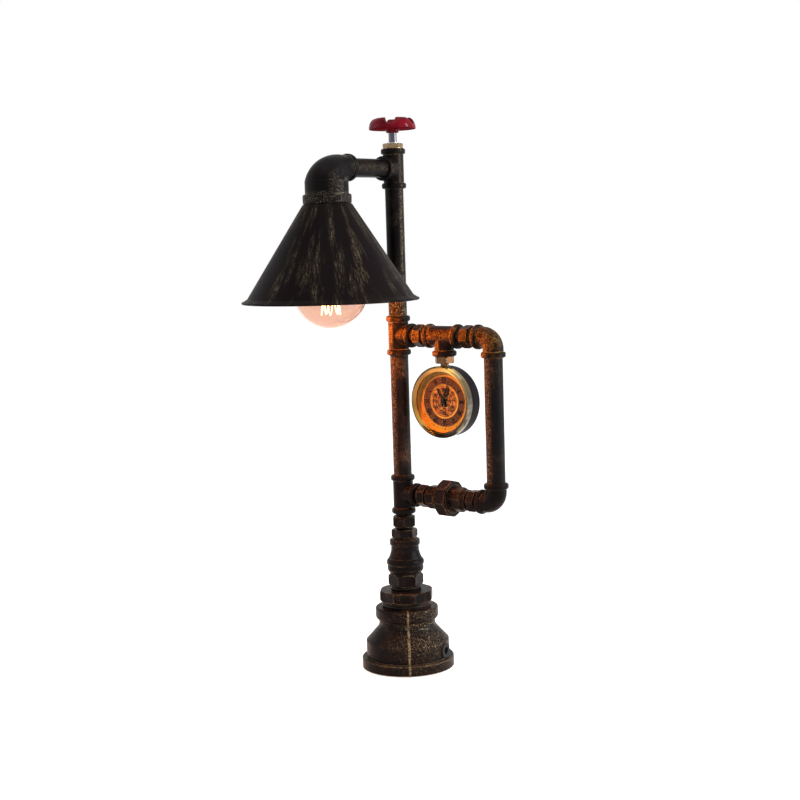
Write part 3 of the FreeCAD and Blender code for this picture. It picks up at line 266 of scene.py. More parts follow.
def blackened_iron(name, bronze=1.0, edge=1.0, gold=(0.50, 0.33, 0.14), brown=(0.014, 0.008, 0.006),
                   toward=None, reach=(0.2, 0.95), grain=1.0, crisp=0.006, below=None, fade=0.4,
                   heights=None, seam=None, cover=0.0, gloss=0.04):
    """Black iron with bronze rubbed on its edges and dusted in broad patches. The extra bronze on the side
    turned
    toward is painted light: it stands for the light that falls on that side, from the lamp on the right on
    some irons and from the bulb on others.
    bronze and edge say how much is laid on faces and on edges, gold and brown are its colour and the colour
    of the iron's rusty patches, and reach is how squarely a face has to look toward to take the painted
    light.
    A larger crisp keeps it off blunter edges, cover packs the dust and painted light closer, and grain is the
    casting's roughness. Under the height below it is laid all round, heights gives its share at each height,
    and seam is the turn of a raised seam that it catches on.
    """
    edge_reach = 1.1 * MM
    seam_outer, seam_inner = 0.75 * MM, 0.4 * MM
    m = Finish(name, Specular_IOR_Level=gloss)
    cloud = m.noise(48.0, 4.0, 0.62)
    grit = m.noise(650.0, 4.0, 0.7)
    dust = m.noise(1500.0, 2.0, 0.6)
    skin = m.ramp(cloud, (0.36, (0.0026, 0.0020, 0.0024)), (0.54, (0.0048, 0.0034, 0.0032)), (0.70, brown))
    rounded = m.add("ShaderNodeBevel", samples=6, Radius=edge_reach).outputs["Normal"]
    normal = m.add("ShaderNodeNewGeometry").outputs["Normal"]
    corner = m.step(m.math("SUBTRACT", 1.0, m.dot(rounded, normal)), crisp, crisp + 0.07)
    missed = m.step(m.noise(75.0, 3.0, 0.6), 0.42, 0.62, 0.10, 1.0)
    rubbed = m.math("MULTIPLY", m.math("MULTIPLY", corner, missed), m.step(grit, 0.36, 0.60, 0.0, edge))
    patch = m.step(cloud, 0.50, 0.68)
    # Faces turned to the given side take more bronze, which is painted light falling on that side.
    if toward:
        facing = m.dot(normal, Vector(toward).normalized())
        patch = m.math("MAXIMUM", m.math("MULTIPLY", patch, 0.45), m.step(facing, *reach))
    height = m.axes(m.here())[2]
    # Under the height below, bronze goes all round. On the upper pole this is the bulb's glow, painted on.
    if below:
        soft = fade * MM
        under = m.step(height, below * MM + soft, below * MM - soft, 0.0, 0.9)
        patch = m.math("MAXIMUM", patch, under)
    if heights:
        share = m.step(height, 0.0, heights[-1][0] * MM)
        stops = [(z / heights[-1][0], (amount, amount, amount)) for z, amount in heights]
        patch = m.math("MULTIPLY", patch, m.ramp(share, *stops))
    dust_and_light = m.math("MULTIPLY", m.math("MULTIPLY", patch, m.step(dust, 0.50 - cover, 0.68 - cover)),
                    m.step(grit, 0.44 - cover, 0.62 - cover))
    if seam is not None:
        across = m.dot(m.here(), (math.cos(seam), math.sin(seam), 0.0))
        line = m.step(m.math("ABSOLUTE", across), seam_outer, seam_inner)
        rubbed = m.math("MAXIMUM", rubbed, m.math("MULTIPLY", line, m.step(grit, 0.38, 0.60, 0.05, 0.6)))
    tone_layer = m.math("MINIMUM", m.math("ADD", rubbed, m.math("MULTIPLY", dust_and_light, 0.75 * bronze)), 1.0)
    tint = m.mix(m.noise(150.0, 2.0), gold, tuple(c * 0.55 for c in gold))
    m.wire(m.mix(tone_layer, skin, tint), "Base Color")
    m.wire(m.step(tone_layer, 0.0, 1.0, 0.33, 0.34), "Roughness")
    m.wire(m.math("MULTIPLY", tone_layer, 0.9), "Metallic")
    m.bump(m.math("ADD", grit, m.math("MULTIPLY", cloud, 1.5)), 0.5 * grain, 0.5 * MM, 0.5 * MM)
    return m.material


seam_turn = math.radians(39.5)
bell_bronze = ((0, 0.15), (9, 0.40), (10.5, 0.2), (18, 0.5), (23, 1.0), (27, 0.9), (34, 0.5), (39, 1.0),
               (43, 0.4), (52, 0.8))
# On the bell, the extra bronze on the faces turned to the right and front is a painted highlight from the
# light on that side.
base_iron = blackened_iron("base_iron", 1.5, 0.8, (0.48, 0.37, 0.22), (0.012, 0.006, 0.004),
                           toward=(0.95, -0.30, 0.25), reach=(0.35, 0.90), grain=1.25, seam=seam_turn,
                           heights=bell_bronze)
finish_node("base_bell", base_iron)


# Base closure: a zinc plated steel plate held up in the bell by three countersunk screws, an iron ring for
# weight above it, and a ring of pressed felt under it that keeps the iron off the table.
def plain(name, colour, roughness, metallic=0.0, grain=300.0, spread=0.25, depth=0.1, stretch=None, **more):
    """A material of one colour that varies a little, with a fine texture."""
    more.setdefault("Specular_IOR_Level", 0.15)
    m = Finish(name, Metallic=metallic, **more)
    fine = m.noise(grain, 3.0, 0.6, stretch)
    darker = tuple(c * (1 - spread) for c in colour)
    lighter = tuple(min(1.0, c * (1 + spread)) for c in colour)
    m.wire(m.mix(fine, darker, lighter), "Base Color")
    m.wire(m.step(fine, 0.3, 0.7, roughness * 0.85, min(1.0, roughness * 1.2)), "Roughness")
    m.bump(fine, depth, 0.3 * MM, 0.15 * MM)
    return m.material


zinc_plate = plain("zinc_plate", (0.42, 0.42, 0.43), 0.35, 1.0, 220.0, 0.2, 0.08, (1.0, 0.15, 1.0))
for name in ("base_plate", "base_screws"):
    finish_node(name, zinc_plate)
finish_node("base_ballast", blackened_iron("ballast_iron", 0.2, 0.3))
finish_node("felt_pad", plain("pressed_felt", (0.030, 0.040, 0.033), 0.95, 0.0, 2500.0, 0.5, 0.7,
                              Sheen_Weight=0.4))

# Cord entry: a rubber grommet snapped in the bell's side hole and a two way screw block on the weight,
# where the lamp's wires meet the cord that the buyer fits.
moulded_black = plain("moulded_black", (0.018, 0.018, 0.020), 0.5, 0.0, 900.0, 0.3, 0.2)
finish_node("terminal_block", moulded_black)
finish_node("cord_grommet", plain("grommet_rubber", (0.016, 0.016, 0.017), 0.7, 0.0, 900.0, 0.3, 0.3))


# Base fittings: an octagon bushing screwed in the bell, a hex nipple, a reducing socket, a small hex bushing
# and the pole's own hex nipple. Each is turned up by hand, so a little of its thread still shows.
def mesh_piece(name, verts, faces, material, body, smooth=True):
    """A new piece from its corners and faces, carried by a body of the frame."""
    mesh = bpy.data.meshes.new(name)
    mesh.from_pydata([tuple(v) for v in verts], [], faces)
    mesh.update()
    mesh.materials.append(material)
    for polygon in mesh.polygons:
        polygon.use_smooth = smooth
    piece = linked(bpy.data.objects.new(name, mesh))
    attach(piece, body)
    return piece


def ridge_piece(name, start, along, radius, length, material, pitch=1.4, height=0.38):
    """The last turns of a screw thread, a ridge that winds round a pipe between two fittings."""
    along = Vector(along)
    side = along.orthogonal().normalized()
    other = along.cross(side)
    sides = 40
    root, half_width, run_out = 0.08, 0.42, 8
    count = max(sides, int(sides * (length - pitch) / pitch))
    verts, faces = [], []
    for i in range(count + 1):
        turn = 2 * math.pi * i / sides
        rise = pitch * i / sides + pitch / 2
        fade = min(1.0, i / run_out, (count - i) / run_out)
        out = side * math.cos(turn) + other * math.sin(turn)
        crest = -root + (height + root) * fade
        for shift, reach in ((-half_width, -root), (0.0, crest), (half_width, -root)):
            point = Vector(start) + along * (rise + shift * pitch) + out * (radius + reach)
            verts.append(point * MM)
    for i in range(count):
        a, b = 3 * i, 3 * i + 3
        faces += [(a, a + 1, b + 1, b), (a + 1, a + 2, b + 2, b + 1), (a + 2, a, b, b + 2)]
    faces += [(0, 2, 1), (3 * count, 3 * count + 1, 3 * count + 2)]
    return mesh_piece(name, verts, faces, material, "stand", smooth=False)


stack_iron = blackened_iron("stack_iron", 0.4, 0.65, (0.40, 0.29, 0.16), (0.009, 0.005, 0.006), grain=1.0)
rusty_iron = blackened_iron("bushing_iron", 0.6, 0.85, (0.46, 0.32, 0.16), (0.024, 0.009, 0.008), grain=1.1)
cut_thread = plain("cut_thread", (0.020, 0.014, 0.011), 0.42, 0.55, 500.0, 0.5, 0.2)
for name in ("base_nipple", "reducing_socket", "hex_bushing", "pole_nipple"):
    finish_node(name, stack_iron)
finish_node("base_bushing", rusty_iron)
UP = (0, 0, 1)
bell_thread, stack_thread, pipe_thread = 20.4, 12.5, 6.6
for name, z, radius, length in (
    ("thread_bell", 51.9, bell_thread, 4.9), ("thread_nipple_foot", 65.9, stack_thread, 3.5),
    ("thread_nipple_head", 79.3, stack_thread, 1.7), ("thread_pole_foot", 117.2, pipe_thread, 2.2),
    ("thread_pole_head", 128.4, pipe_thread, 2.2),
):
    thread = ridge_piece(name, (0, 0, z), UP, radius, length, cut_thread, min(1.6, length / 2.1))

# Pole and loop: steel pipe cut to length and screwed into malleable iron tees and elbows, with hex nipples
# and one union so that the loop can close. The upper branch, nearest the bulb, is rubbed the most, and the
# bronze on its faces turned to the bulb is painted light.
# On the lower pole and the loop pipe, bronze on the faces turned to the front left, where the bulb is, is
# painted light from it.
pipe_iron = blackened_iron("pipe_iron", 1.1, 0.7, (0.46, 0.27, 0.13), (0.010, 0.007, 0.007),
                           toward=(-0.62, -0.78, 0.0), reach=(0.55, 1.0), grain=0.9, cover=0.04, gloss=0.06)
# On the top tee and the arm pipe, a narrow stripe of bronze on the faces turned to the right is a painted
# highlight.
top_iron = blackened_iron("top_iron", 0.8, 0.7, (0.42, 0.31, 0.17), (0.012, 0.009, 0.008),
                          toward=(1.0, -0.04, 0.0), reach=(0.90, 1.0), grain=0.9)
# The upper pole has the same painted highlight. Below the shade it turns bronze all round, a painted glow of
# the bulb's warm light.
glow_iron = blackened_iron("glow_iron", 1.5, 0.7, (0.46, 0.34, 0.20), (0.008, 0.006, 0.006),
                           toward=(1.0, -0.04, 0.0), reach=(0.90, 1.0), grain=0.9, below=325.0, fade=22.0)
# On the upper branch and middle tee, bronze on the faces turned to the bulb is painted light from it.
branch_iron = blackened_iron("branch_iron", 1.6, 1.0, (0.58, 0.27, 0.04), (0.016, 0.008, 0.006),
                             toward=(-0.70, -0.70, 0.15), reach=(0.58, 0.98), grain=1.0, cover=0.06)
# On the lower branch, bronze on the faces turned up to the bulb is painted light from it.
low_iron = blackened_iron("low_iron", 0.6, 0.8, (0.46, 0.23, 0.10), (0.012, 0.006, 0.006),
                          toward=(-0.5, -0.5, 0.7), reach=(0.55, 1.0), grain=1.0)
for names, material in (
    (("top_tee", "arm_pipe"), top_iron),
    (("upper_pole",), glow_iron),
    (("lower_pole", "loop_pipe"), pipe_iron),
    (("middle_tee", "upper_nipple_a", "clock_tee", "upper_nipple_b", "upper_elbow"), branch_iron),
    (("lower_tee", "lower_nipple_a", "union_tail", "union_nut", "union_head", "lower_nipple_b",
      "lower_elbow"), low_iron),
):
    for name in names:
        finish_node(name, material)
RIGHT = (1, 0, 0)
upper_branch, lower_branch = 279.8, 146.9
for name, x, z, length in (
    ("thread_a_in", 16.3, upper_branch, 3.4), ("thread_a_out", 26.7, upper_branch, 3.4),
    ("thread_b_in", 62.7, upper_branch, 4.0), ("thread_b_out", 73.8, upper_branch, 4.0),
    ("thread_c_in", 16.3, lower_branch, 3.0), ("thread_c_out", 26.4, lower_branch, 3.0),
    ("thread_d_in", 67.5, lower_branch, 1.7), ("thread_d_out", 76.1, lower_branch, 1.7),
):
    thread = ridge_piece(name, (x, 0, z), RIGHT, pipe_thread, length, cut_thread, min(1.5, length / 2.1))

# Switch: a rotary dimmer hung in the top tee by its brass nut and washer. Its steel shaft comes up out of
# the nut and carries the handwheel.
brass = plain("turned_brass", (0.52, 0.36, 0.16), 0.30, 1.0, 420.0, 0.35, 0.12)
dull_brass = plain("dull_brass", (0.22, 0.15, 0.085), 0.38, 1.0, 420.0, 0.6, 0.2)
for name in ("switch_washer", "switch_nut"):
    finish_node(name, dull_brass)
finish_node("switch_body", zinc_plate)
drawn_steel = plain("drawn_steel", (0.085, 0.08, 0.095), 0.18, 1.0, 900.0, 0.3, 0.10, (1.0, 1.0, 0.03))
finish_node("switch_shaft", drawn_steel)

# Handwheel: a small die cast valve wheel with a domed rim and five finger notches, dipped in cherry red
# enamel and held on the shaft by a slotted screw.
wheel_top = 457.2
wheel_under = 447.7
wheel_hub_bottom = 445.1
wheel_bore = 3.32
wheel_notches = 5
first_notch = 32.0      # degrees from the front
notch_radius = 3.6
notch_floor = 3.8       # over the rim's underside
notch_start = 8.8       # from the wheel's middle
notch_bend = 0.96       # share of the radius that is round, before the flank
notch_flank = 4         # rise of the flank for each step aside
notch_margin = 1.5      # under the notch's floor, where nothing moves
notch_inner = wheel_bore + 0.5
wheel_profile = [
    (wheel_bore, wheel_hub_bottom), (4.4, wheel_hub_bottom), (5.3, 445.6), (5.3, 447.6), (6.4, 448.6),
    (9.5, 448.5), (12.5, 448.1), (14.6, 447.75), (16.6, wheel_under), (18.7, 447.75), (19.28, 448.7),
    (19.15, 450.3), (18.5, 452.6), (17.2, 454.9), (15.5, 456.6), (13.4, wheel_top), (12.3, 456.6),
    (11.6, 454.9), (10.3, 452.9), (8.2, 451.4), (5.8, 450.6), (wheel_bore, 450.5),
]


def softened(points, rounds=2):
    """A closed outline with its corners cut off again and again, which rounds it from the inside."""
    for _ in range(rounds):
        cut = []
        for (ax, az), (bx, bz) in zip(points, points[1:] + points[:1]):
            cut.append((0.75 * ax + 0.25 * bx, 0.75 * az + 0.25 * bz))
            cut.append((0.25 * ax + 0.75 * bx, 0.25 * az + 0.75 * bz))
        points = cut
    return points


def notch_height(x, y):
    """Height of the nearest notch over a point of the wheel: a round floor that turns into steep flanks."""
    bend = notch_radius * notch_bend
    middle = wheel_under + notch_floor + notch_radius
    heights = []
    for i in range(wheel_notches):
        a = math.radians(first_notch + 360 * i / wheel_notches)
        ahead = x * math.sin(a) - y * math.cos(a)
        aside = x * math.cos(a) + y * math.sin(a)
        away = math.hypot(aside, min(0.0, ahead - notch_start))
        if away < bend:
            heights.append(middle - math.sqrt(notch_radius ** 2 - away ** 2))
        else:
            heights.append(middle - math.sqrt(notch_radius ** 2 - bend ** 2) + (away - bend) * notch_flank)
    return min(heights)


def soft_minimum(a, b, blend=1.3):
    """The lower of two heights, rounded over where they meet."""
    share = max(blend - abs(a - b), 0.0) / blend
    return min(a, b) - share * share * blend / 4


def revolved(points, steps, shape):
    """Corners and faces of a closed outline spun round the pole's axis, each corner passed through shape."""
    verts, faces = [], []
    for i in range(steps):
        a = 2 * math.pi * i / steps
        verts += [shape(r * math.sin(a), -r * math.cos(a), z) for r, z in points]
    count = len(points)
    for i in range(steps):
        j = (i + 1) % steps
        for k in range(count):
            n = (k + 1) % count
            faces.append((i * count + k, j * count + k, j * count + n, i * count + n))
    return verts, faces


def notched(x, y, z):
    """A corner of the wheel, brought down to the notch where the rim and the web rise over it."""
    if math.hypot(x, y) > notch_inner and z > wheel_under + notch_floor - notch_margin:
        z = soft_minimum(z, notch_height(x, y))
    return (x * MM, y * MM, z * MM)


enamel = Finish("cherry_enamel", Specular_IOR_Level=0.02, Coat_Weight=0.5, Coat_Roughness=0.06, Coat_IOR=1.15,
                Roughness=0.45)
run = enamel.noise(160.0, 3.0)
cherry = enamel.ramp(run, (0.30, (0.060, 0.0005, 0.003)), (0.58, (0.13, 0.001, 0.007)),
                     (0.80, (0.22, 0.002, 0.012)))
enamel.wire(cherry, "Base Color")
facing_up = enamel.axes(enamel.add("ShaderNodeNewGeometry").outputs["Normal"])[2]
enamel.wire(enamel.step(facing_up, -0.7, -0.3, 0.0, 0.8), "Coat Weight")
enamel.wire(enamel.step(facing_up, -0.7, -0.3, 0.95, 0.45), "Roughness")
enamel.bump(enamel.noise(300.0, 2.0), 0.10, 0.4 * MM)
verts, faces = revolved(softened(wheel_profile), 240, notched)
wheel = mesh_piece("wheel_casting", verts, faces, enamel.material, "wheel")
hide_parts("handwheel")
finish_node("wheel_screw", zinc_plate)

# Arm: the arm pipe reaches forward to a cast reducing elbow, whose wide banded mouth looks down and holds
# the lampholder and the shade. It is left blacker than the rest, with bronze on the band and a painted
# highlight of mottled bronze on the right side of the bend.
band_top = 397.6
# The bronze patch on the side of the bend that faces the lamp on the right is a painted highlight.
elbow_iron = blackened_iron("elbow_iron", 0.9, 1.1, (0.42, 0.35, 0.24), (0.008, 0.006, 0.006),
                            toward=(0.93, -0.36, 0.1), reach=(0.88, 1.0), grain=1.3, crisp=0.07,
                            below=band_top)
finish_node("reducing_elbow", elbow_iron)

# Shade: a cone spun from thin sheet steel with its lower edge rolled over a wire, painted black brown and
# dragged with a nearly dry brush of gold from its top to its rim.
shade_x, shade_y, shade_top = 0.0, -85.0, 410.0
paint = Finish("shade_paint", Specular_IOR_Level=0.03)
across, back, drop = paint.here_from(Vector((shade_x, shade_y, shade_top)) * MM)
down_cone = paint.add("ShaderNodeCombineXYZ")
paint.wire(paint.math("ARCTAN2", across, back), down_cone.inputs[0])
paint.wire(drop, down_cone.inputs[1])
cone_place = down_cone.outputs[0]
streaks = paint.noise(11.0, 6.0, 0.78, (7.0, 11.0, 1.0), cone_place)
wide = paint.noise(3.0, 3.0, 0.6, (1.5, 7.0, 1.0), cone_place)
speck = paint.noise(1300.0, 3.0, 0.7)
cloud = paint.noise(30.0, 4.0, 0.6)
brushed = paint.math("MULTIPLY", paint.step(streaks, 0.48, 0.66), paint.step(wide, 0.50, 0.66))
brushed = paint.math("MULTIPLY", brushed, paint.step(speck, 0.42, 0.62))
skin = paint.ramp(cloud, (0.32, (0.0036, 0.0016, 0.0022)), (0.56, (0.0044, 0.0026, 0.0024)),
                  (0.74, (0.0080, 0.0050, 0.0040)))
paint.wire(paint.mix(paint.math("MULTIPLY", brushed, 0.9), skin, (0.34, 0.27, 0.16)), "Base Color")
paint.wire(paint.step(brushed, 0.0, 1.0, 0.46, 0.36), "Roughness")
paint.wire(paint.math("MULTIPLY", brushed, 0.8), "Metallic")
paint.bump(paint.math("ADD", streaks, paint.math("MULTIPLY", speck, 0.4)), 0.30, 0.3 * MM)
finish_node("shade", paint.material)

# Lampholder: a black moulded body pushed up into the elbow, its threaded brass shell and centre contact,
# and the ring that clamps the shade's flat top against the elbow.
for name in ("shade_ring", "lampholder_body"):
    finish_node(name, moulded_black)
for name in ("screw_shell", "centre_contact"):
    finish_node(name, brass)

# Bulb: a clear round bulb with a rolled brass screw cap, a glass mount inside and a cage of bright
# filament. Its light is warm and falls on the iron below the shade.
bulb_x, bulb_y = shade_x, shade_y
cap_low, cap_high = 373.3, 392.8
cap_middle = 12.5       # radius halfway between the thread's crests and roots
cap_ridge = 0.52        # crest over that radius
cap_wall = 0.45
cap_pitch = 3.6
thread_start, thread_end = 0.14, 0.97       # shares of the cap's height
thread_in, thread_out = 0.10, 0.08


def rolled_cap(steps=96, rows=90):
    """Thin brass cap with its round rolled thread, open below where the glass goes in."""
    verts, faces = [], []
    for k in range(2 * rows):
        inside = k >= rows
        row = 2 * rows - 1 - k if inside else k
        share = row / (rows - 1)
        z = cap_low + (cap_high - cap_low) * share
        fade = min(1.0, (share - thread_start) / thread_in, (thread_end - share) / thread_out)
        for i in range(steps):
            a = 2 * math.pi * i / steps
            wave = math.cos(2 * math.pi * z / cap_pitch - a)
            r = cap_middle + cap_ridge * wave * max(0.0, fade) - (cap_wall if inside else 0.0)
            verts.append(((bulb_x + r * math.cos(a)) * MM, (bulb_y + r * math.sin(a)) * MM, z * MM))
    for k in range(2 * rows):
        n = (k + 1) % (2 * rows)
        for i in range(steps):
            j = (i + 1) % steps
            faces.append((k * steps + i, k * steps + j, n * steps + j, n * steps + i))
    return verts, faces


verts, faces = rolled_cap()
cap = mesh_piece("rolled_cap", verts, faces, brass, "bulb")
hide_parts("bulb_cap")


def spun_on_bulb(points, steps=64):
    """Corners and faces of a closed outline spun round the bulb's axis."""
    return revolved(points, steps, lambda x, y, z: ((bulb_x + x) * MM, (bulb_y + y) * MM, z * MM))


insulator_outline = [(4.0, 396.0), (4.6, 396.0), (8.5, 394.6), (12.0, 392.9), (12.2, 392.2), (11.4, 391.9),
                     (4.0, 394.6)]
verts, faces = spun_on_bulb(softened(insulator_outline, 1))
insulator = mesh_piece("cap_insulator", verts, faces, moulded_black, "bulb")
button_outline = [(0.4, 397.25), (3.0, 397.2), (4.0, 396.6), (4.1, 395.7), (3.0, 395.2), (0.4, 395.2)]
verts, faces = spun_on_bulb(softened(button_outline, 1))
button = mesh_piece("cap_button", verts, faces, brass, "bulb")


def clear_glass(name, colour, ior=1.3):
    """Thin clear glass of a colour, which lets the light of the lamps straight through."""
    m = Finish(name, Base_Color=(*colour, 1), Roughness=0.0, IOR=ior, Transmission_Weight=1.0)
    sight = m.add("ShaderNodeLightPath")
    through = m.add("ShaderNodeBsdfTransparent", Color=(*colour, 1))
    choose = m.add("ShaderNodeMixShader")
    m.wire(sight.outputs["Is Shadow Ray"], choose.inputs[0])
    m.wire(m.shader.outputs[0], choose.inputs[1])
    m.wire(through.outputs[0], choose.inputs[2])
    m.wire(choose.outputs[0], m.output.inputs["Surface"])
    m.bump(m.noise(20.0, 1.0), 0.01, 0.2 * MM)
    return m.material


# The bulb's glass is tinted peach, which paints in the warm glow of its lit filament.
finish_node("bulb_glass", clear_glass("bulb_glass", (0.925, 0.69, 0.585), 1.2))
finish_node("bulb_stem", clear_glass("stem_glass", (1.0, 0.95, 0.9)))


def tube(points, radius, sides=8):
    """Corners and faces of a round wire through the points, in millimetres."""
    verts, faces = [], []
    points = [Vector(p) for p in points]
    side = None
    for i, point in enumerate(points):
        ahead = (points[min(i + 1, len(points) - 1)] - points[max(i - 1, 0)]).normalized()
        side = ahead.orthogonal() if side is None else side - ahead * side.dot(ahead)
        side.normalize()
        other = ahead.cross(side)
        for k in range(sides):
            a = 2 * math.pi * k / sides
            verts.append((point + (side * math.cos(a) + other * math.sin(a)) * radius) * MM)
    for i in range(len(points) - 1):
        for k in range(sides):
            n = (k + 1) % sides
            faces.append((i * sides + k, i * sides + n, (i + 1) * sides + n, (i + 1) * sides + k))
    faces.append(tuple(reversed(range(sides))))
    last = (len(points) - 1) * sides
    faces.append(tuple(last + k for k in range(sides)))
    return verts, faces


def joined(parts):
    """Several sets of corners and faces as one."""
    verts, faces = [], []
    for some_verts, some_faces in parts:
        start = len(verts)
        verts += some_verts
        faces += [tuple(start + i for i in face) for face in some_faces]
    return verts, faces


filament_low = 302.0
filament_high = 333.0
filament_radius = 0.30
hairpins = 5
hairpin_spread = 0.95
cage_neck, cage_swell = 3.2, 4.6
support_radius = 0.22
lead_radius = 0.3


def around_bulb(radius, turn, z):
    """A point round the bulb's axis."""
    return (bulb_x + radius * math.cos(turn), bulb_y + radius * math.sin(turn), z)


def hairpin(middle_turn, steps=32):
    """The way down and up again of one hairpin of the cage, which is widest at the foot."""
    points = []
    for k in range(steps + 1):
        share = k / steps
        swing = (share - 0.5) * hairpin_spread
        dip = math.sin(math.pi * share) ** 0.45
        turn = middle_turn + swing * (1.0 - 0.35 * dip)
        points.append(around_bulb(cage_neck + cage_swell * dip, turn,
                                  filament_high - (filament_high - filament_low) * dip))
    return points


lit = Finish("lit_filament", Base_Color=(1.0, 0.6, 0.3, 1), Emission_Color=(1.0, 0.62, 0.30, 1))
lit.set(Emission_Strength=9.0, Roughness=0.6)
hairpin_turns = [2 * math.pi * (i + 0.25) / hairpins for i in range(hairpins)]
verts, faces = joined([tube(hairpin(turn), filament_radius) for turn in hairpin_turns])
filament = mesh_piece("filament_cage", verts, faces, lit.material, "bulb")
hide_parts("bulb_filament")

support_wire = plain("support_wire", (0.30, 0.28, 0.26), 0.35, 1.0, 600.0, 0.2, 0.05)
wires = []
for middle_turn in hairpin_turns:
    for turn in (middle_turn - hairpin_spread / 2, middle_turn + hairpin_spread / 2):
        hook = [around_bulb(radius, turn, z) for radius, z in ((1.2, 335.5), (2.4, 334.6), (3.3, 332.6))]
        wires.append(tube(hook, support_radius, 6))
lead_way = ((2.05, 366.0), (2.3, 352.0), (2.2, 338.0), (1.5, 335.2))
for side in (-1, 1):
    wires.append(tube([(bulb_x + side * x, bulb_y, z) for x, z in lead_way], lead_radius))
verts, faces = joined(wires)
supports = mesh_piece("filament_supports", verts, faces, support_wire, "bulb")

light_height = 304.0
glow_radius = 14.0
filament_data = bpy.data.lights.new("filament_light", "POINT")
filament_data.energy = 3.8
filament_data.color = (1.0, 0.50, 0.06)
filament_data.shadow_soft_size = glow_radius * MM
filament_light = linked(bpy.data.objects.new("filament_light", filament_data))
filament_light.location = (bulb_x * MM, bulb_y * MM, light_height * MM)
for rays in ("visible_camera", "visible_glossy", "visible_transmission"):
    setattr(filament_light, rays, False)
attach(filament_light, "bulb")

# Gauge case: a pressure gauge's steel case in satin black, screwed up into the clock tee by a brass hex
# stem, with a polished ring pressed over its front that holds the glass.
finish_node("gauge_stem", plain("stem_brass", (0.13, 0.065, 0.030), 0.28, 1.0, 500.0, 0.6, 0.15))
finish_node("gauge_housing", plain("case_paint", (0.008, 0.005, 0.0065), 0.42, 0.0, 900.0, 0.25, 0.12,
                                   Specular_IOR_Level=0.04))
clock_x, clock_z = 46.4, 226.8
lip_outer, lip_inner = 27.9, 27.1       # where the ring's flat face turns over to its inside


def from_dial_middle(m):
    """How far a point lies across, up and away from the dial's middle, and its turn from the top."""
    across, _, up = m.here_from((clock_x * MM, 0, clock_z * MM))
    flat = m.add("ShaderNodeCombineXYZ")
    m.wire(across, flat.inputs[0])
    m.wire(up, flat.inputs[1])
    length = m.add("ShaderNodeVectorMath", operation="LENGTH")
    m.wire(flat.outputs[0], length.inputs[0])
    return across, up, length.outputs["Value"], m.math("ARCTAN2", across, up)


ring = Finish("polished_ring", Metallic=1.0)
_, _, away, turn = from_dial_middle(ring)
ring_tone = ring.noise(90.0, 3.0)
# The ring's colour is painted by its turn round the dial: painted gold highlights at the top and, on the
# inside lip, also at the lower left; painted reflections of olive grey at the upper left and silver grey at
# the right; and painted shade, near black, at the bottom.
swing = ring.math("ADD", ring.step(turn, -math.pi, math.pi), ring.step(ring_tone, 0.3, 0.7, -0.02, 0.02))
tone_layer = ring.ramp(swing, (0.02, (0.012, 0.009, 0.006)), (0.14, (0.060, 0.035, 0.012)),
                 (0.25, (0.085, 0.075, 0.045)), (0.40, (0.075, 0.068, 0.045)), (0.47, (0.26, 0.15, 0.04)),
                 (0.54, (0.70, 0.40, 0.10)), (0.62, (0.24, 0.17, 0.07)), (0.74, (0.13, 0.12, 0.09)),
                 (0.86, (0.035, 0.030, 0.022)), (0.98, (0.012, 0.009, 0.006)))
tone_layer = ring.mix(ring.step(ring_tone, 0.55, 0.78), tone_layer, (0.34, 0.30, 0.20))
lip = ring.ramp(swing, (0.02, (0.06, 0.030, 0.008)), (0.12, (0.62, 0.34, 0.06)), (0.25, (0.32, 0.14, 0.03)),
                (0.40, (0.22, 0.11, 0.03)), (0.50, (0.55, 0.28, 0.08)), (0.56, (0.85, 0.50, 0.14)),
                (0.66, (0.30, 0.17, 0.05)), (0.80, (0.14, 0.09, 0.04)), (0.95, (0.03, 0.015, 0.008)))
ring.wire(ring.mix(ring.step(away, lip_outer * MM, lip_inner * MM), tone_layer, lip), "Base Color")
ring.wire(ring.step(ring_tone, 0.3, 0.7, 0.10, 0.20), "Roughness")
ring.bump(ring.noise(700.0, 2.0), 0.05, 0.2 * MM, 0.4 * MM)
finish_node("gauge_bezel", ring.material)
finish_node("gauge_lens", clear_glass("dial_glass", (1.0, 0.99, 0.97), 1.12))
finish_node("insert_case", plain("insert_case", (0.46, 0.19, 0.03), 0.45, 0.0, 900.0, 0.3, 0.1))

# Clock: a battery movement behind a printed card dial with an amber minute track, a brown ring of Roman
# numerals and an ornate middle, and two black stamped hands on their arbor.
print_front, print_back = -1.87, -1.79
card_radius = 25.0
petal_count = 12
card = Finish("dial_card", Roughness=0.55, Specular_IOR_Level=0.1)
across, up, away, turn = from_dial_middle(card)
reach = card.step(away, 0.0, card_radius * MM)
petals = card.math("SINE", card.math("MULTIPLY", turn, petal_count))
waves = card.math("SINE", card.math("MULTIPLY", reach, 70.0))
lace = card.step(card.math("ADD", card.math("MULTIPLY", petals, 0.6), waves), -0.2, 0.5)
spots = card.noise(420.0, 3.0, 0.6)
ornament = card.mix(lace, (0.024, 0.010, 0.004), (0.20, 0.09, 0.014))
ornament = card.mix(card.step(spots, 0.57, 0.60), ornament, (0.13, 0.010, 0.005))
ornament = card.mix(card.step(spots, 0.64, 0.67), ornament, (0.36, 0.30, 0.12))
ornament = card.mix(card.step(spots, 0.48, 0.42), ornament, (0.006, 0.004, 0.003))
rings = card.ramp(reach, (0.50, (0.28, 0.17, 0.02)), (0.505, (0.32, 0.20, 0.03)), (0.555, (0.32, 0.20, 0.03)),
                  (0.565, (0.034, 0.0150, 0.0050)), (0.825, (0.040, 0.0175, 0.0050)),
                  (0.835, (0.24, 0.15, 0.012)), (0.98, (0.32, 0.22, 0.014)))
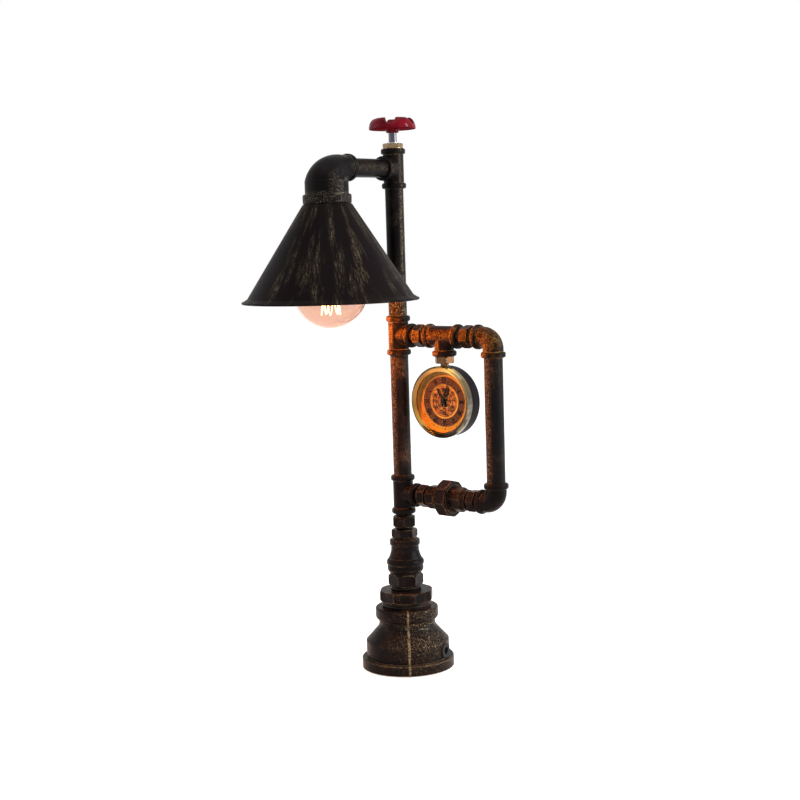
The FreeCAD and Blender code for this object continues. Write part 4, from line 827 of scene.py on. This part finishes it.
# The upper left of the numeral ring and minute track is printed redder, which paints in the bulb's warm light
# where the bezel shades it.
upper_left = card.math("ADD", card.math("MULTIPLY", across, -0.75), card.math("MULTIPLY", up, 0.66))
painted_warm_light = card.mix(card.step(reach, 0.825, 0.835), (0.034, 0.0140, 0.0050), (0.26, 0.11, 0.018))
rings = card.mix(card.step(upper_left, -8 * MM, 16 * MM, 0.0, 0.8), rings, painted_warm_light)
stain = card.noise(60.0, 4.0, 0.6)
printed = card.mix(card.step(reach, 0.50, 0.505), ornament, rings)
card.wire(card.mix(card.step(stain, 0.35, 0.75, 0.0, 0.40), printed, (0.035, 0.020, 0.004)), "Base Color")
card.bump(card.noise(1400.0, 2.0), 0.06, 0.1 * MM)
finish_node("dial", card.material)


def inked(bars):
    """Thin printed bars on the dial, standing a little above each other where they cross.

    Each has its middle across and out from the hour's line, its length, its width, its lean and its hour.
    """
    step_up = 0.008
    sides = [(0, 1, 2, 3), (7, 6, 5, 4), (0, 4, 5, 1), (1, 5, 6, 2), (2, 6, 7, 3), (3, 7, 4, 0)]
    parts = []
    for i, (across, outward, long_side, wide, lean, hour) in enumerate(bars):
        a = 2 * math.pi * hour / 12
        out = Vector((math.sin(a), math.cos(a)))
        side = Vector((math.cos(a), -math.sin(a)))
        middle = out * outward + side * across
        along = (out * math.cos(lean) + side * math.sin(lean)) * long_side / 2
        cross = Vector((along.y, -along.x)).normalized() * wide / 2
        outline = [middle + along + cross, middle - along + cross, middle - along - cross,
                   middle + along - cross]
        corners = [((clock_x + p.x) * MM, y * MM, (clock_z + p.y) * MM)
                   for y in (print_front + step_up * (i % 5), print_back) for p in outline]
        parts.append((corners, sides))
    return joined(parts)


numerals = ("XII", "I", "II", "III", "IIII", "V", "VI", "VII", "VIII", "IX", "X", "XI")
numeral_middle, numeral_height = 17.4, 4.9
thick, thin = 0.72, 0.45
x_lean = 0.26
v_lean, v_half = x_lean * 0.75, 0.52
letter_width = {"I": 0.95, "V": 2.1, "X": 2.2}
track_middle = 22.6
hour_mark, minute_mark = (1.5, 0.6), (0.9, 0.22)
bars = []
for hour, word in enumerate(numerals):
    cursor = -sum(letter_width[letter] for letter in word) / 2
    for letter in word:
        middle = cursor + letter_width[letter] / 2
        cursor += letter_width[letter]
        if letter == "I":
            strokes = ((middle, thick, 0.0),)
        elif letter == "V":
            strokes = ((middle - v_half, thick, -v_lean), (middle + v_half, thin, v_lean))
        else:
            strokes = ((middle, thick, -x_lean), (middle, thin, x_lean))
        for place, wide, lean in strokes:
            bars.append((place, numeral_middle, numeral_height, wide, lean, hour))
for minute in range(60):
    long_side, wide = hour_mark if minute % 5 == 0 else minute_mark
    bars.append((0.0, track_middle, long_side, wide, 0.0, minute / 5))
ink = plain("dial_ink", (0.004, 0.003, 0.003), 0.6, 0.0, 900.0, 0.3, 0.05, Specular_IOR_Level=0.02)
verts, faces = inked(bars)
numbers = mesh_piece("dial_numbers", verts, faces, ink, "stand", smooth=False)


def dial_wire(radius, wide):
    """A thin raised ring of print on the dial."""
    outline = [(radius - wide, print_back), (radius - wide * 0.5, print_front),
               (radius + wide * 0.5, print_front), (radius + wide, print_back)]
    return revolved(outline, 96, lambda x, y, z: ((clock_x + x) * MM, z * MM, (clock_z - y) * MM))


gilt = plain("gilt_print", (0.17, 0.12, 0.014), 0.50, 0.0, 700.0, 0.25, 0.08)
gilt_wide, petal_wire = 0.16, 0.11
petal_middle, petal_half, petal_swing = 7.6, 4.2, 0.30
gilt_parts = [dial_wire(radius, gilt_wide) for radius in (12.7, 14.0, 20.6)]
for i in range(petal_count):
    loop = []
    for k in range(25):
        t = 2 * math.pi * k / 24
        r = petal_middle + petal_half * math.cos(t)
        a = 2 * math.pi * i / petal_count + petal_swing * math.sin(t)
        loop.append((clock_x + r * math.sin(a), print_front + 0.01, clock_z + r * math.cos(a)))
    gilt_parts.append(tube(loop, petal_wire, 6))
verts, faces = joined(gilt_parts)
gilding = mesh_piece("dial_gilding", verts, faces, gilt, "stand", smooth=False)

hand_black = plain("hand_black", (0.004, 0.004, 0.004), 0.45, 0.0, 800.0, 0.3, 0.05, Specular_IOR_Level=0.03)
for name in ("hour_hand", "minute_hand", "hand_cap"):
    finish_node(name, hand_black)
finish_node("clock_movement", moulded_black)
for name in ("clock_cell", "minute_arbor"):
    finish_node(name, zinc_plate)

# Wires: two insulated leads run from the block up the pole to the switch, and two more from there through
# the arm to the lampholder.
insulation = plain("wire_insulation", (0.030, 0.030, 0.032), 0.4, 0.0, 600.0, 0.2, 0.05)
for name in ("supply_wires", "lamp_wires"):
    finish_node(name, insulation)
